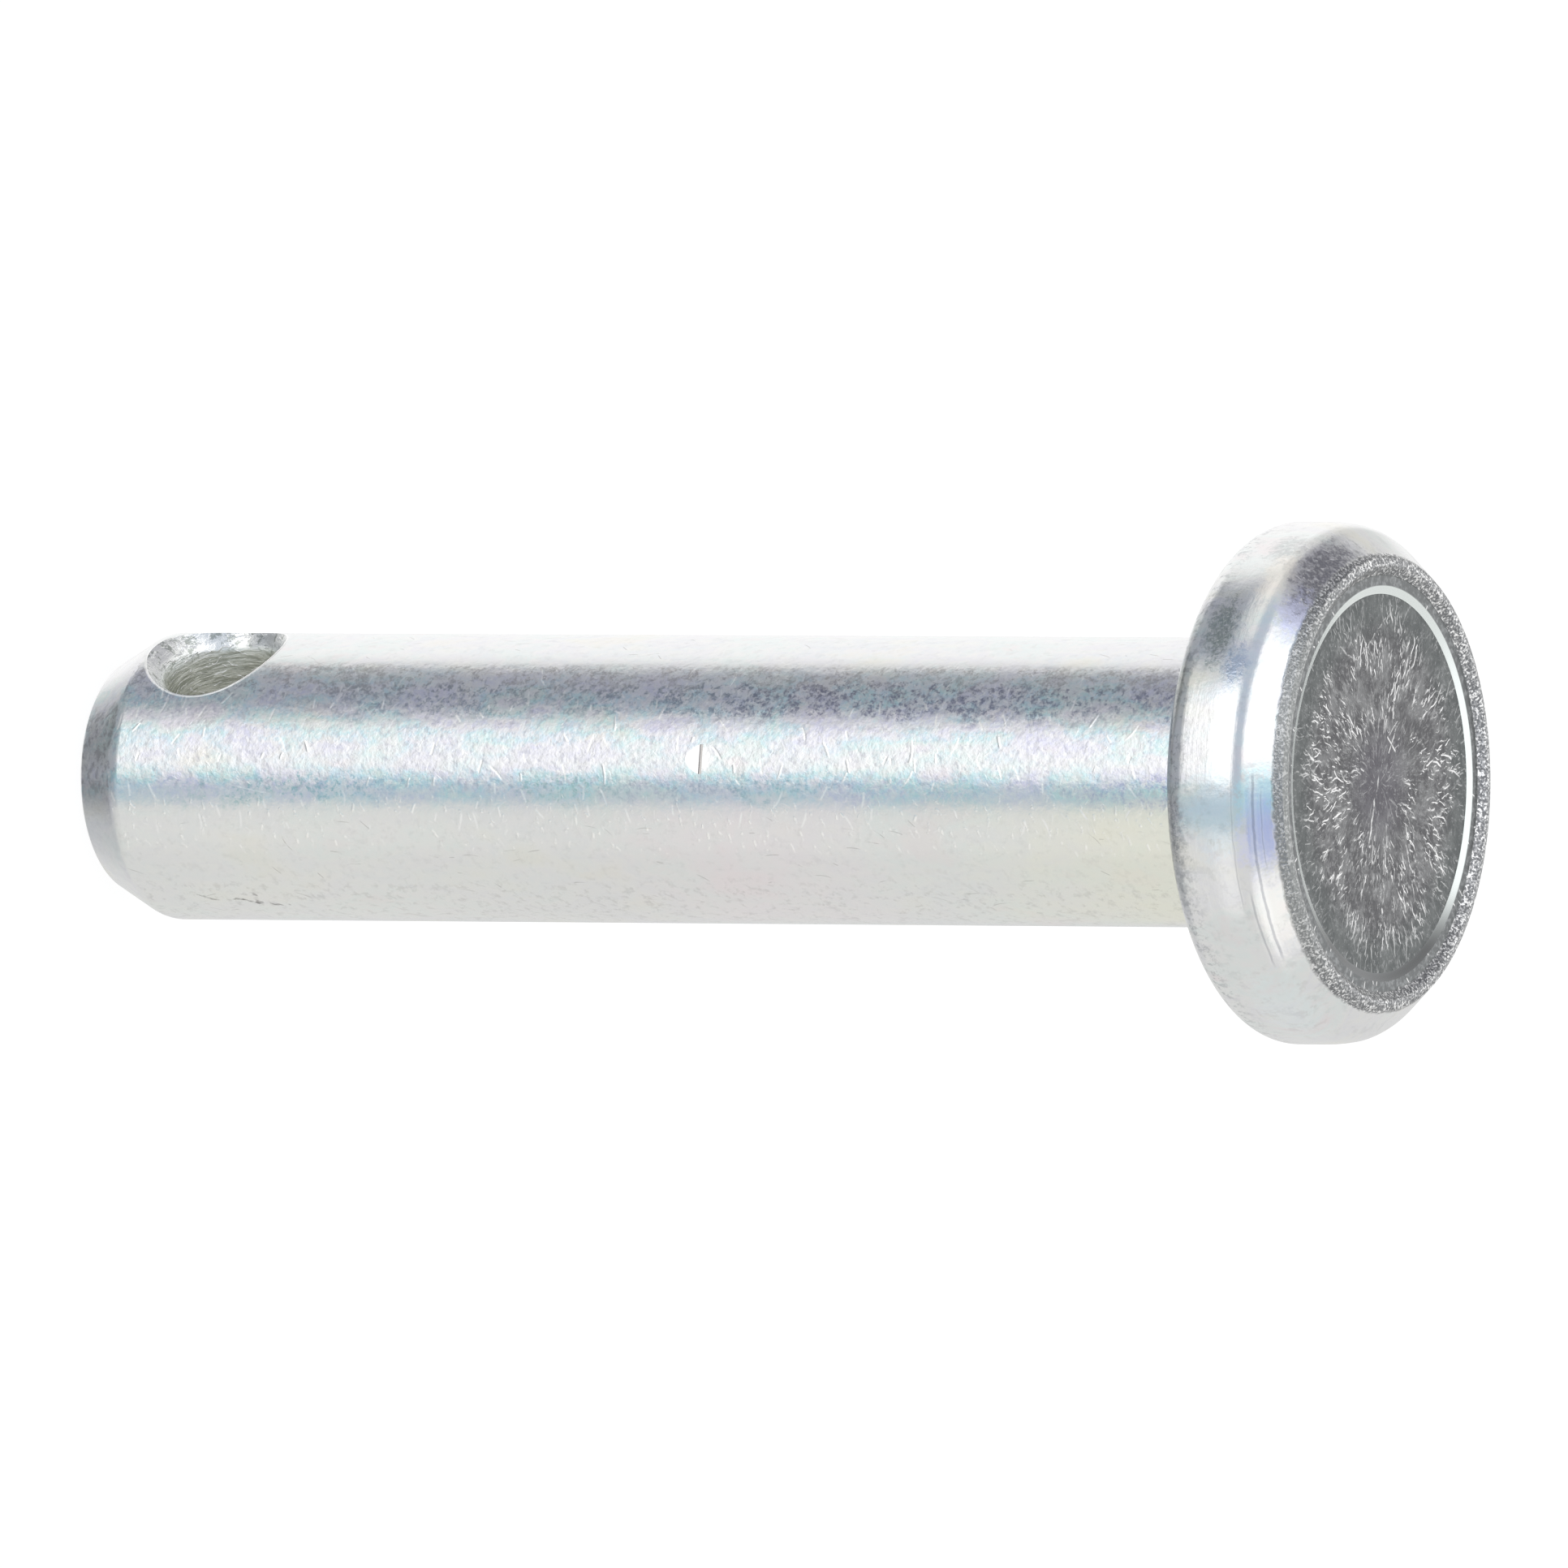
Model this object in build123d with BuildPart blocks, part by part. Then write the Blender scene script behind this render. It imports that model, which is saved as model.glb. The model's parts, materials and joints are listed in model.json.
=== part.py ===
from build123d import *
import math
import os

# A clevis pin in one piece of steel. It stands on its tip with the head up, +Z runs from the
# tip to the head, and the origin is the centre of the flat tip.

# Driving sizes, in millimetres and degrees
SHANK_DIAMETER = 10.0
SHANK_LENGTH = 45.0  # from the tip to the underside of the head
HEAD_DIAMETER = 18.0
HEAD_HEIGHT = 4.3  # to the crest of the face's raised rim
FACE_INSET = 1.2  # from the widest band in to the top of the head's cone
CONE_ANGLE = 42.0
UNDER_ROUND = 0.92  # large round at the lower edge of the head
WIDEST_BAND = 0.7  # plain cylindrical band above that round
CROWN_RADIUS = 8.0  # belly of the head's side above the band
SHOULDER_ROUND = 1.0  # between the belly and the cone
NECK_FILLET = 0.4  # where the shank meets the head

# The face: a raised rim, a sunken flat ring, and a coined field below the ring
RIM_WIDTH = 0.62
RIM_CREST = 0.3  # from the cone in to the crest of the rim
RIM_DROP = 0.08  # soft fall from the crest to the cone
RING_DROP = 0.27  # from the crest down to the ring
RING_WIDTH = 0.36
FIELD_DEPTH = 0.06
FIELD_WALL = 0.3  # how far the wall of the field leans inwards

TIP_BEVEL_LENGTH = 1.85
TIP_BEVEL_DEPTH = 1.05
TIP_BEVEL_ROUND = 0.35

HOLE_DIAMETER = 4.0
HOLE_FROM_TIP = 4.5
HOLE_EDGE_BREAK = 0.35

NICK_FROM_TIP = 25.0  # a struck mark on the shank, with its step towards the head
NICK_LENGTH = 0.52
NICK_DEPTH = 0.027
NICK_DIRECTION = 234.8  # turned about the axis, from +X

# Sizes that follow
shank_radius = SHANK_DIAMETER / 2
head_radius = HEAD_DIAMETER / 2
face_radius = head_radius - FACE_INSET
rim_start = face_radius - RIM_WIDTH
ring_start = rim_start - RING_WIDTH
head_top = SHANK_LENGTH + HEAD_HEIGHT
rim_height = head_top - RIM_DROP
ring_height = head_top - RING_DROP
field_height = ring_height - FIELD_DEPTH
cone_run = math.tan(math.radians(CONE_ANGLE))


def crown_at(height):
    """Radius of the head's crowned side at a height over the widest band."""
    return head_radius - CROWN_RADIUS + math.sqrt(CROWN_RADIUS**2 - height**2)


# The crown ends where it meets the cone, found by closing in on the height from both sides
band_top = SHANK_LENGTH + UNDER_ROUND + WIDEST_BAND
low, high = 0.0, rim_height - band_top
for _ in range(40):
    middle = (low + high) / 2
    if crown_at(middle) < face_radius + (rim_height - band_top - middle) * cone_run:
        low = middle
    else:
        high = middle
shoulder_height = band_top + low
shoulder_radius = crown_at(low)

with BuildPart() as clevis_pin:
    # Half section, turned about the axis
    with BuildSketch(Plane.XZ):
        with BuildLine():
            Polyline(
                (0, field_height),
                (0, 0),
                (shank_radius - TIP_BEVEL_DEPTH, 0),
                (shank_radius, TIP_BEVEL_LENGTH),
                (shank_radius, SHANK_LENGTH),
                (head_radius - UNDER_ROUND, SHANK_LENGTH),
            )
            RadiusArc(
                (head_radius - UNDER_ROUND, SHANK_LENGTH),
                (head_radius, SHANK_LENGTH + UNDER_ROUND),
                -UNDER_ROUND,
            )
            Line((head_radius, SHANK_LENGTH + UNDER_ROUND), (head_radius, band_top))
            RadiusArc((head_radius, band_top), (shoulder_radius, shoulder_height), -CROWN_RADIUS)
            Polyline(
                (shoulder_radius, shoulder_height),
                (face_radius, rim_height),
                (face_radius - RIM_CREST, head_top),
                (rim_start, ring_height),
                (ring_start, ring_height),
                (ring_start - FIELD_WALL, field_height),
                (0, field_height),
            )
        make_face()
    revolve(axis=Axis.Z)

    # Soft edges of the tip's bevel, the neck under the head and the shoulder of its side
    rings = clevis_pin.edges().filter_by(GeomType.CIRCLE)
    bevel_rings = rings.filter_by(lambda ring: ring.center().Z < TIP_BEVEL_LENGTH * 1.5)
    fillet(bevel_rings, TIP_BEVEL_ROUND)
    rings = clevis_pin.edges().filter_by(GeomType.CIRCLE)
    neck_ring = rings.filter_by(
        lambda ring: abs(ring.center().Z - SHANK_LENGTH) < NECK_FILLET / 10
        and ring.radius < shank_radius + NECK_FILLET / 10
    )
    fillet(neck_ring, NECK_FILLET)
    rings = clevis_pin.edges().filter_by(GeomType.CIRCLE)
    shoulder_ring = rings.filter_by(
        lambda ring: abs(ring.center().Z - shoulder_height) < SHOULDER_ROUND / 100
        and ring.radius > face_radius
    )
    fillet(shoulder_ring, SHOULDER_ROUND)

    # Cross hole along X, with a broken edge at each mouth
    with BuildSketch(Plane.YZ):
        with Locations((0, HOLE_FROM_TIP)):
            Circle(HOLE_DIAMETER / 2)
    extrude(amount=shank_radius, both=True, mode=Mode.SUBTRACT)
    bore = clevis_pin.faces().filter_by(GeomType.CYLINDER).filter_by(
        lambda face: abs(face.center().Z - HOLE_FROM_TIP) < HOLE_DIAMETER / 4
        and face.radius < (HOLE_DIAMETER + SHANK_DIAMETER) / 4
    )
    chamfer(bore.edges().filter_by(GeomType.LINE, reverse=True), HOLE_EDGE_BREAK)

    # The struck mark: a flat that dips towards the head and ends in a small step
    nick_slope = math.degrees(math.atan2(NICK_DEPTH, NICK_LENGTH))
    nick_face = Plane.XY.rotated((0, 0, NICK_DIRECTION)).offset(NICK_FROM_TIP)
    with BuildSketch(Plane(nick_face.origin, nick_face.x_dir, -nick_face.y_dir)):
        with BuildLine():
            Polyline(
                (shank_radius - NICK_DEPTH, 0),
                (shank_radius + NICK_DEPTH, -2 * NICK_LENGTH),
                (shank_radius + NICK_DEPTH, 0),
                close=True,
            )
        make_face()
    extrude(amount=NICK_LENGTH * 2, both=True, mode=Mode.SUBTRACT)

clevis_pin.part.label = "clevis_pin"
os.makedirs("parts", exist_ok=True)
export_step(clevis_pin.part, "parts/clevis_pin.step")
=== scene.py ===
import json
import math

import bmesh
import bpy
from mathutils import Matrix, Vector


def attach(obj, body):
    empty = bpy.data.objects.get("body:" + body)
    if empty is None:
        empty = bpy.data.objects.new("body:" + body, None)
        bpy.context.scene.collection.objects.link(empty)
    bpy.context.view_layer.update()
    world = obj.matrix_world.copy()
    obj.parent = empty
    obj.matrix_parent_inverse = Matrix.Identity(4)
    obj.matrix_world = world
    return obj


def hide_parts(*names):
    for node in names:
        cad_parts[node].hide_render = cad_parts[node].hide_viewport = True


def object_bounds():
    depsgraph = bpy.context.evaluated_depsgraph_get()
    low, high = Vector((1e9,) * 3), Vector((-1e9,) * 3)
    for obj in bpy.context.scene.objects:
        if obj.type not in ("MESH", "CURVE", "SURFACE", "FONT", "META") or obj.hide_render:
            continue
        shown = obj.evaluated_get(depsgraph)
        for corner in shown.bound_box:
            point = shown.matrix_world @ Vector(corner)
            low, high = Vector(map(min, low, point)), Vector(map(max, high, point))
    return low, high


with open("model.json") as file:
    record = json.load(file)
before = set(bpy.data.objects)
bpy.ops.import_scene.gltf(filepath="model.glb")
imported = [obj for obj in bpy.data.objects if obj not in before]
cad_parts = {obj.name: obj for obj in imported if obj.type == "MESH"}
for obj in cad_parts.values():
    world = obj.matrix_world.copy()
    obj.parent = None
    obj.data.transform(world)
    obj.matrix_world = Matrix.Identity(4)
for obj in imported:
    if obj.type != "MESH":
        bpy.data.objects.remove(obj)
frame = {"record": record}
cad_low, cad_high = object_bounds()

bl_info = {
    "name": "Clevis Pin",
    "version": (1, 0, 0),
    "blender": (4, 5, 0),
    "location": "3D View > Sidebar > Clevis Pin",
    "description": "Builds a zinc plated clevis pin and a pale studio around it",
    "category": "Add Mesh",
}

MM = 0.001
WHITE = (1.0, 1.0, 1.0)
mounts = {mount["name"]: mount for mount in frame["record"]["mounts"]}
SHANK_RADIUS = mounts["shank"]["dims"]["r_mm"] * MM
HOLE_RADIUS = mounts["cross_hole"]["dims"]["r_mm"] * MM
HOLE_HEIGHT = mounts["cross_hole"]["pos_m"][2]
UNDERSIDE = mounts["head_underside"]["pos_m"][2]
PIN_TOP = cad_high.z
HEAD_RADIUS = (cad_high.x - cad_low.x) / 2
PATTERN_TURN = 117.2  # degrees that bring the front of the finishes' patterns round to +X


# Sizes, colours and places that a user would change


def size(name, default, description):
    """A length in metres, with a plain description."""
    return bpy.props.FloatProperty(
        name=name, default=default, description=description, unit="LENGTH", subtype="DISTANCE", precision=5
    )


def angle(name, default, description):
    """An angle, given in degrees and kept in radians."""
    return bpy.props.FloatProperty(
        name=name, default=math.radians(default), description=description, unit="ROTATION", subtype="ANGLE"
    )


def amount(name, default, description, high=1.0):
    """A plain number from nought upwards."""
    return bpy.props.FloatProperty(
        name=name, default=default, description=description, min=0.0, soft_max=high
    )


def tone(name, default, description):
    """A colour."""
    return bpy.props.FloatVectorProperty(
        name=name, default=default, description=description, subtype="COLOR", size=3, min=0.0, max=1.0
    )


class PinSizes(bpy.types.PropertyGroup):
    """Sizes of the pin that the frame doesn't state."""

    face_radius: size("Face radius", 7.80 * MM, "Radius of the head's face, at the top of its cone")
    under_round: size("Under round", 0.92 * MM, "Round at the lower edge of the head")
    belly_height: size(
        "Belly height", 2.338 * MM, "Height over the underside where the head starts to draw in"
    )
    belly_round: size("Belly round", 4.3 * MM, "Round of the head's belly")
    shoulder_radius: size("Shoulder radius", 8.886 * MM, "Radius where the head's belly meets its cone")
    shoulder_height: size("Shoulder height", 3.005 * MM, "Height of the shoulder over the head's underside")
    shoulder_round: size("Shoulder round", 1.0 * MM, "Soft round along the shoulder")
    rim_width: size("Rim width", 0.62 * MM, "Width of the grainy raised rim of the face")
    rim_crest: size("Rim crest", 0.30 * MM, "From the cone in to the crest of the rim")
    rim_drop: size("Rim drop", 0.08 * MM, "Fall from the rim's crest to the cone")
    ring_drop: size("Ring drop", 0.27 * MM, "Fall from the rim's crest to the flat ring")
    ring_width: size("Ring width", 0.36 * MM, "Width of the flat ring round the coined field")
    field_depth: size("Field depth", 0.10 * MM, "Depth of the coined field under the ring")
    field_wall: size("Field wall", 0.30 * MM, "How far the wall of the coined field leans inwards")
    neck_fillet: size("Neck fillet", 0.40 * MM, "Fillet between the shank and the head")
    bevel_length: size("Bevel length", 1.85 * MM, "Length of the bevel at the tip")
    bevel_depth: size("Bevel depth", 1.05 * MM, "Depth of the bevel at the tip")
    bevel_round: size("Bevel round", 0.35 * MM, "Round at the end of the tip")
    bevel_shoulder: size("Bevel shoulder", 0.90 * MM, "Soft round where the bevel meets the shank")
    mouth_along: size("Mouth along", 0.52 * MM, "Edge break of the cross hole along the shank")
    mouth_across: size("Mouth across", 0.40 * MM, "Edge break of the cross hole across the shank")
    mouth_depth: size("Mouth depth", 0.70 * MM, "Depth of the cross hole's edge break")
    nick_height: size("Nick height", 25.0 * MM, "Height of the struck mark's step")
    nick_length: size("Nick length", 0.52 * MM, "Length of the struck mark")
    nick_depth: size("Nick depth", 0.027 * MM, "Depth of the struck mark at its step")
    nick_groove: size("Nick groove", 0.035 * MM, "Depth of the groove at the end of the struck mark")
    nick_step: size("Nick groove width", 0.13 * MM, "Width of the groove at the end of the struck mark")
    nick_turn: angle("Nick turn", 234.8, "Where the struck mark lies about the axis, from +X")
    turns: bpy.props.IntProperty(
        name="Steps", default=448, description="Steps of the turned body about its axis", min=48, max=1024
    )


class PinFinish(bpy.types.PropertyGroup):
    """Colours and gloss of the zinc plating."""

    zinc: tone("Zinc", (0.87, 0.87, 0.865), "Plain colour of the plating")
    shank_gloss: amount("Shank roughness", 0.24, "Roughness of the plating on the shank")
    head_gloss: amount("Head roughness", 0.20, "Roughness of the plating on the side of the head")
    face_gloss: amount("Face roughness", 0.24, "Roughness of the coined face")
    hole_gloss: amount("Hole roughness", 0.26, "Roughness of the drilled hole")
    tint: amount("Tint", 1.0, "Strength of the rainbow tints of the plating")


class StudioLook(bpy.types.PropertyGroup):
    """Camera, floor and light."""

    turn: angle("Camera turn", -27.2, "Where the camera stands about the pin, from -Y towards +X")
    rise: angle("Camera rise", 28.0, "Height of the camera over the horizon")
    tilt: angle("Camera tilt", 0.361, "Small tilt of the lying pin in the frame")
    distance: size("Distance", 1.5564, "From the camera to the pin")
    aim_height: size("Aim height", 25.715 * MM, "Height on the pin that the camera looks at")
    aim_side: size("Aim side", -0.147 * MM, "Small step of the aim to the side")
    lens: bpy.props.FloatProperty(
        name="Lens", default=1031.4, description="Focal length of the lens", unit="CAMERA", min=1.0
    )
    floor_size: size("Floor size", 6.0, "Width of the floor")
    floor_tone: tone("Floor tone", (0.16, 0.16, 0.16), "Part of the floor's white that shadows can darken")
    mirror_depth: bpy.props.IntProperty(
        name="Mirror depth",
        default=10,
        description="How many times light may glance about inside the cross hole",
    )
    surround: tone("Surround", (0.755, 0.755, 0.745), "Pale walls of the studio")


def face_levels(sizes):
    """Radii and heights of the rim, the ring and the coined field."""
    rim_start = sizes.face_radius - sizes.rim_width
    ring_start = rim_start - sizes.ring_width
    ring_height = PIN_TOP - sizes.ring_drop
    return rim_start, ring_start, ring_height, ring_height - sizes.field_depth


# Node trees


class Board:
    """Lays out nodes in a tree and joins them. A term is a socket or a plain value."""

    def __init__(self, tree):
        self.tree = tree

    def node(self, kind, inputs=None, **settings):
        """Adds a node, sets it up and joins or fills the named inputs."""
        made = self.tree.nodes.new(kind)
        for name, value in settings.items():
            setattr(made, name, value)
        for name, term in (inputs or {}).items():
            self.feed(made.inputs[name], term)
        return made

    def feed(self, socket, term):
        """Joins a socket to another, or writes a plain value in it."""
        if isinstance(term, bpy.types.NodeSocket):
            self.tree.links.new(term, socket)
        elif socket.type == "RGBA" and len(term) == 3:
            socket.default_value = (*term, 1.0)
        else:
            socket.default_value = term

    def math(self, operation, *terms, clamp=False):
        """A Math node."""
        made = self.node("ShaderNodeMath", {place: term for place, term in enumerate(terms)})
        made.operation = operation
        made.use_clamp = clamp
        return made.outputs["Value"]

    def times(self, first, *others):
        """The product of its terms."""
        for term in others:
            first = self.math("MULTIPLY", first, term)
        return first

    def plus(self, first, second):
        """The sum of two terms."""
        return self.math("ADD", first, second)

    def minus(self, first, second):
        """The first term less the second."""
        return self.math("SUBTRACT", first, second)

    def times_plus(self, first, second, third):
        """The product of two terms, plus a third."""
        return self.math("MULTIPLY_ADD", first, second, third)

    def away(self, value, middle):
        """How far a value lies from a middle, to either side."""
        return self.math("ABSOLUTE", self.minus(value, middle))

    def band(self, value, middle, reach, edge):
        """One where a value lies within a reach of the middle, falling softly to nought over the edge."""
        return self.ease(self.away(value, middle), reach + edge, reach)

    def vector(self, operation, *terms, scale=None):
        """A Vector Math node."""
        made = self.tree.nodes.new("ShaderNodeVectorMath")
        made.operation = operation
        for place, term in enumerate(terms):
            self.feed(made.inputs[place], term)
        if scale is not None:
            self.feed(made.inputs["Scale"], scale)
        return made.outputs["Value"] if operation in ("DOT_PRODUCT", "LENGTH") else made.outputs["Vector"]

    def ease(self, value, low, high, start=0.0, end=1.0):
        """Runs smoothly from start to end while the value goes from low to high."""
        made = self.node(
            "ShaderNodeMapRange",
            {"Value": value, "From Min": low, "From Max": high, "To Min": start, "To Max": end},
            interpolation_type="SMOOTHSTEP",
        )
        return made.outputs["Result"]

    def blend(self, share, first, second, way="MIX"):
        """Mixes two colours."""
        made = self.node("ShaderNodeMix", data_type="RGBA", blend_type=way)
        for place, term in ((0, share), (6, first), (7, second)):
            self.feed(made.inputs[place], term)
        return made.outputs[2]

    def noise(self, vector, scale, detail=2.0, roughness=0.5, distortion=0.0):
        """A Noise node's value."""
        made = self.node(
            "ShaderNodeTexNoise",
            {
                "Vector": vector, "Scale": scale, "Detail": detail, "Roughness": roughness,
                "Distortion": distortion,
            },
        )
        return made.outputs["Fac"]

    def swing(self, vector, scale, **settings):
        """A Noise node's value, less its middle."""
        return self.minus(self.noise(vector, scale, **settings), 0.5)

    def wander(self, vector, scale, reach, detail=2.0):
        """A vector that strays to all sides by up to half of its reach."""
        noise = self.node("ShaderNodeTexNoise", {"Vector": vector, "Scale": scale, "Detail": detail})
        centred = self.vector("SUBTRACT", noise.outputs["Color"], (0.5, 0.5, 0.5))
        return self.vector("SCALE", centred, scale=reach)

    def stain(self, colour, stain, mask, share=1.0):
        """Stains a colour where a mask is, by a share of it."""
        return self.blend(self.times(mask, share), colour, stain)

    def group(self, name, inputs, place=None):
        """Adds a node group. Inputs that aren't given join the outputs of the same name of a place."""
        made = self.tree.nodes.new("ShaderNodeGroup")
        made.node_tree = bpy.data.node_groups[name]
        for socket in made.inputs:
            if socket.name in inputs:
                self.feed(socket, inputs[socket.name])
            elif place is not None and socket.name in place:
                self.feed(socket, place[socket.name])
        return made.outputs

    def ramp(self, value, stops):
        """A colour and a share that follow a value. A stop is a place, a colour and a share, or one."""
        made = self.node("ShaderNodeValToRGB", {"Fac": value})
        elements = made.color_ramp.elements
        while len(elements) < len(stops):
            elements.new(0.5)
        for element, (place, colour, *share) in zip(elements, stops):
            element.position = place
            element.color = (*colour, *(share or [1.0]))
        return made.outputs["Color"], made.outputs["Alpha"]

    def combine(self, x, y, z):
        """A vector from three values."""
        return self.node("ShaderNodeCombineXYZ", {"X": x, "Y": y, "Z": z}).outputs["Vector"]

    def split(self, vector):
        """The three values of a vector."""
        made = self.node("ShaderNodeSeparateXYZ", {"Vector": vector})
        return made.outputs["X"], made.outputs["Y"], made.outputs["Z"]


def new_group(name, inputs, outputs):
    """An empty node group with named sockets; returns its board, its inputs and its outputs."""
    tree = bpy.data.node_groups.new(name, "ShaderNodeTree")
    for label, kind, default in inputs:
        socket = tree.interface.new_socket(label, in_out="INPUT", socket_type="NodeSocket" + kind)
        if default is not None:
            socket.default_value = default
    for label, kind in outputs:
        tree.interface.new_socket(label, in_out="OUTPUT", socket_type="NodeSocket" + kind)
    board = Board(tree)
    return board, board.node("NodeGroupInput").outputs, board.node("NodeGroupOutput").inputs


def make_turned_place():
    """Group: where a point lies on a turned body, in millimetres."""
    board, entry, result = new_group(
        "turned place",
        [("Point", "Vector", None)],
        [
            ("Point", "Vector"), ("Across", "Vector"), ("Outward", "Vector"), ("Turn", "Float"),
            ("Radius", "Float"), ("Height", "Float"), ("Sheet", "Vector"),
        ],
    )
    point = board.vector("SCALE", entry["Point"], scale=1.0 / MM)
    x, y, z = board.split(point)
    flat = board.combine(x, y, 0.0)
    outward = board.vector("NORMALIZE", flat)
    radius = board.vector("LENGTH", flat)
    turn = board.times(board.math("ARCTAN2", y, x), -1.0)
    shank = board.times(turn, SHANK_RADIUS / MM)
    board.feed(result["Point"], point)
    board.feed(result["Across"], board.vector("CROSS_PRODUCT", (0.0, 0.0, 1.0), outward))
    board.feed(result["Outward"], outward)
    board.feed(result["Turn"], board.math("DEGREES", turn))
    board.feed(result["Radius"], radius)
    board.feed(result["Height"], z)
    board.feed(result["Sheet"], board.combine(shank, z, 0.0))


def make_struck_dashes():
    """Group: short dashes scattered over a surface, each at its own slant, straight or curled."""
    board, entry, result = new_group(
        "struck dashes",
        [
            ("Point", "Vector", None), ("Along", "Vector", (0.0, 0.0, 1.0)),
            ("Across", "Vector", (1.0, 0.0, 0.0)), ("Spacing", "Float", 0.8), ("Length", "Float", 0.4),
            ("Width", "Float", 0.06), ("Slant", "Float", 0.0), ("Spread", "Float", 0.6),
            ("Share", "Float", 0.5), ("Curl", "Float", 0.0), ("Seed", "Float", 0.0),
        ],
        [("Mask", "Float"), ("Height", "Float")],
    )
    density = board.math("DIVIDE", 1.0, entry["Spacing"])
    wander = board.wander(entry["Point"], density, entry["Curl"])
    seed = board.combine(entry["Seed"], entry["Seed"], entry["Seed"])
    moved = board.vector("ADD", board.vector("ADD", entry["Point"], seed), wander)
    cells = board.node("ShaderNodeTexVoronoi", {"Vector": moved, "Scale": density})
    offset = board.vector("SUBTRACT", moved, cells.outputs["Position"])
    first, second, third = board.split(cells.outputs["Color"])
    along = board.vector("DOT_PRODUCT", offset, entry["Along"])
    across = board.vector("DOT_PRODUCT", offset, entry["Across"])
    swing = board.times(board.minus(first, 0.5), entry["Spread"], 2.0)
    slant = board.plus(entry["Slant"], swing)
    cosine = board.math("COSINE", slant)
    sine = board.math("SINE", slant)
    lengthwise = board.plus(board.times(along, cosine), board.times(across, sine))
    sideways = board.minus(board.times(across, cosine), board.times(along, sine))
    bow = board.times(lengthwise, lengthwise, board.minus(second, 0.5))
    sideways = board.plus(sideways, bow)
    reach = board.times(entry["Length"], board.times_plus(second, 0.5, 0.2))
    ends = board.ease(board.math("DIVIDE", board.math("ABSOLUTE", lengthwise), reach), 1.0, 0.5)
    sides = board.ease(board.math("DIVIDE", board.math("ABSOLUTE", sideways), entry["Width"]), 0.5, 0.0)
    kept = board.math("LESS_THAN", third, entry["Share"])
    mask = board.times(ends, sides, kept)
    lift = board.minus(board.math("FRACT", board.times(third, 57.0)), 0.4)
    board.feed(result["Mask"], mask)
    board.feed(result["Height"], board.times(mask, lift))


def make_scratch_line():
    """Group: one scratch between two points, a little wavy and broken along its length."""
    board, entry, result = new_group(
        "scratch line",
        [
            ("Point", "Vector", None), ("Start", "Vector", None), ("End", "Vector", None),
            ("Width", "Float", 0.05), ("Wave", "Float", 0.1), ("Gaps", "Float", 0.5),
        ],
        [("Mask", "Float")],
    )
    wander = board.wander(entry["Point"], 1.4, entry["Wave"], detail=3.0)
    offset = board.vector("ADD", board.vector("SUBTRACT", entry["Point"], entry["Start"]), wander)
    run = board.vector("SUBTRACT", entry["End"], entry["Start"])
    share = board.math(
        "DIVIDE", board.vector("DOT_PRODUCT", offset, run), board.vector("DOT_PRODUCT", run, run), clamp=True
    )
    nearest = board.vector("SCALE", run, scale=share)
    away = board.vector("LENGTH", board.vector("SUBTRACT", offset, nearest))
    line = board.ease(board.math("DIVIDE", away, entry["Width"]), 0.5, 0.1)
    breaks = board.ease(board.noise(entry["Point"], 5.0), board.times(entry["Gaps"], 0.62), 0.62)
    board.feed(result["Mask"], board.times(line, breaks))


def make_scuff():
    """Group: a ragged scuffed patch on a turned surface, by its turn in degrees and its height."""
    board, entry, result = new_group(
        "scuff",
        [
            ("Point", "Vector", None), ("Turn", "Float", 0.0), ("Height", "Float", 0.0),
            ("At turn", "Float", 0.0), ("Turn reach", "Float", 10.0), ("At height", "Float", 0.0),
            ("Height reach", "Float", 1.0), ("Fineness", "Float", 3.0),
        ],
        [("Mask", "Float")],
    )
    sideways = board.math("DIVIDE", board.minus(entry["Turn"], entry["At turn"]), entry["Turn reach"])
    upright = board.math("DIVIDE", board.minus(entry["Height"], entry["At height"]), entry["Height reach"])
    away = board.vector("LENGTH", board.combine(sideways, upright, 0.0))
    ragged = board.swing(entry["Point"], entry["Fineness"], detail=4.0, roughness=0.7)
    edge = board.times_plus(ragged, 2.4, away)
    board.feed(result["Mask"], board.ease(edge, 1.35, 0.45))


def make_etched_grain():
    """Group: fine strokes in patches of three slants over soft dimples, with dark pits between them."""
    board, entry, result = new_group(
        "etched grain",
        [
            ("Point", "Vector", None), ("Sheet", "Vector", None), ("Fineness", "Float", 7.0),
            ("Stretch", "Float", 3.0), ("Strokes", "Float", 6.0), ("Dimples", "Float", 12.0),
        ],
        [("Height", "Float"), ("Pits", "Float")],
    )
    patchy = {"Vector": entry["Sheet"], "Scale": 1.3, "Detail": 3.0, "Roughness": 0.7}
    patches = board.node("ShaderNodeTexNoise", patchy).outputs["Color"]
    strokes = None
    for place, (slant, patch) in enumerate(zip((14.0, -32.0, 58.0), board.split(patches))):
        turned = board.node(
            "ShaderNodeVectorRotate",
            {"Vector": entry["Sheet"], "Angle": math.radians(slant)},
            rotation_type="Z_AXIS",
        ).outputs["Vector"]
        x, y, _ = board.split(turned)
        stretched = board.combine(board.math("DIVIDE", x, entry["Stretch"]), y, 7.0 * place)
        lines = board.swing(stretched, entry["Fineness"], detail=1.5)
        shown = board.times(lines, board.ease(patch, 0.42, 0.58, 0.1, 1.0))
        strokes = shown if strokes is None else board.plus(strokes, shown)
    dimples = board.swing(entry["Point"], 2.4, detail=3.0, roughness=0.6)
    height = board.times(strokes, entry["Strokes"])
    board.feed(result["Height"], board.times_plus(dimples, entry["Dimples"], height))
    board.feed(result["Pits"], board.ease(strokes, -0.03, -0.22))


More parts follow.
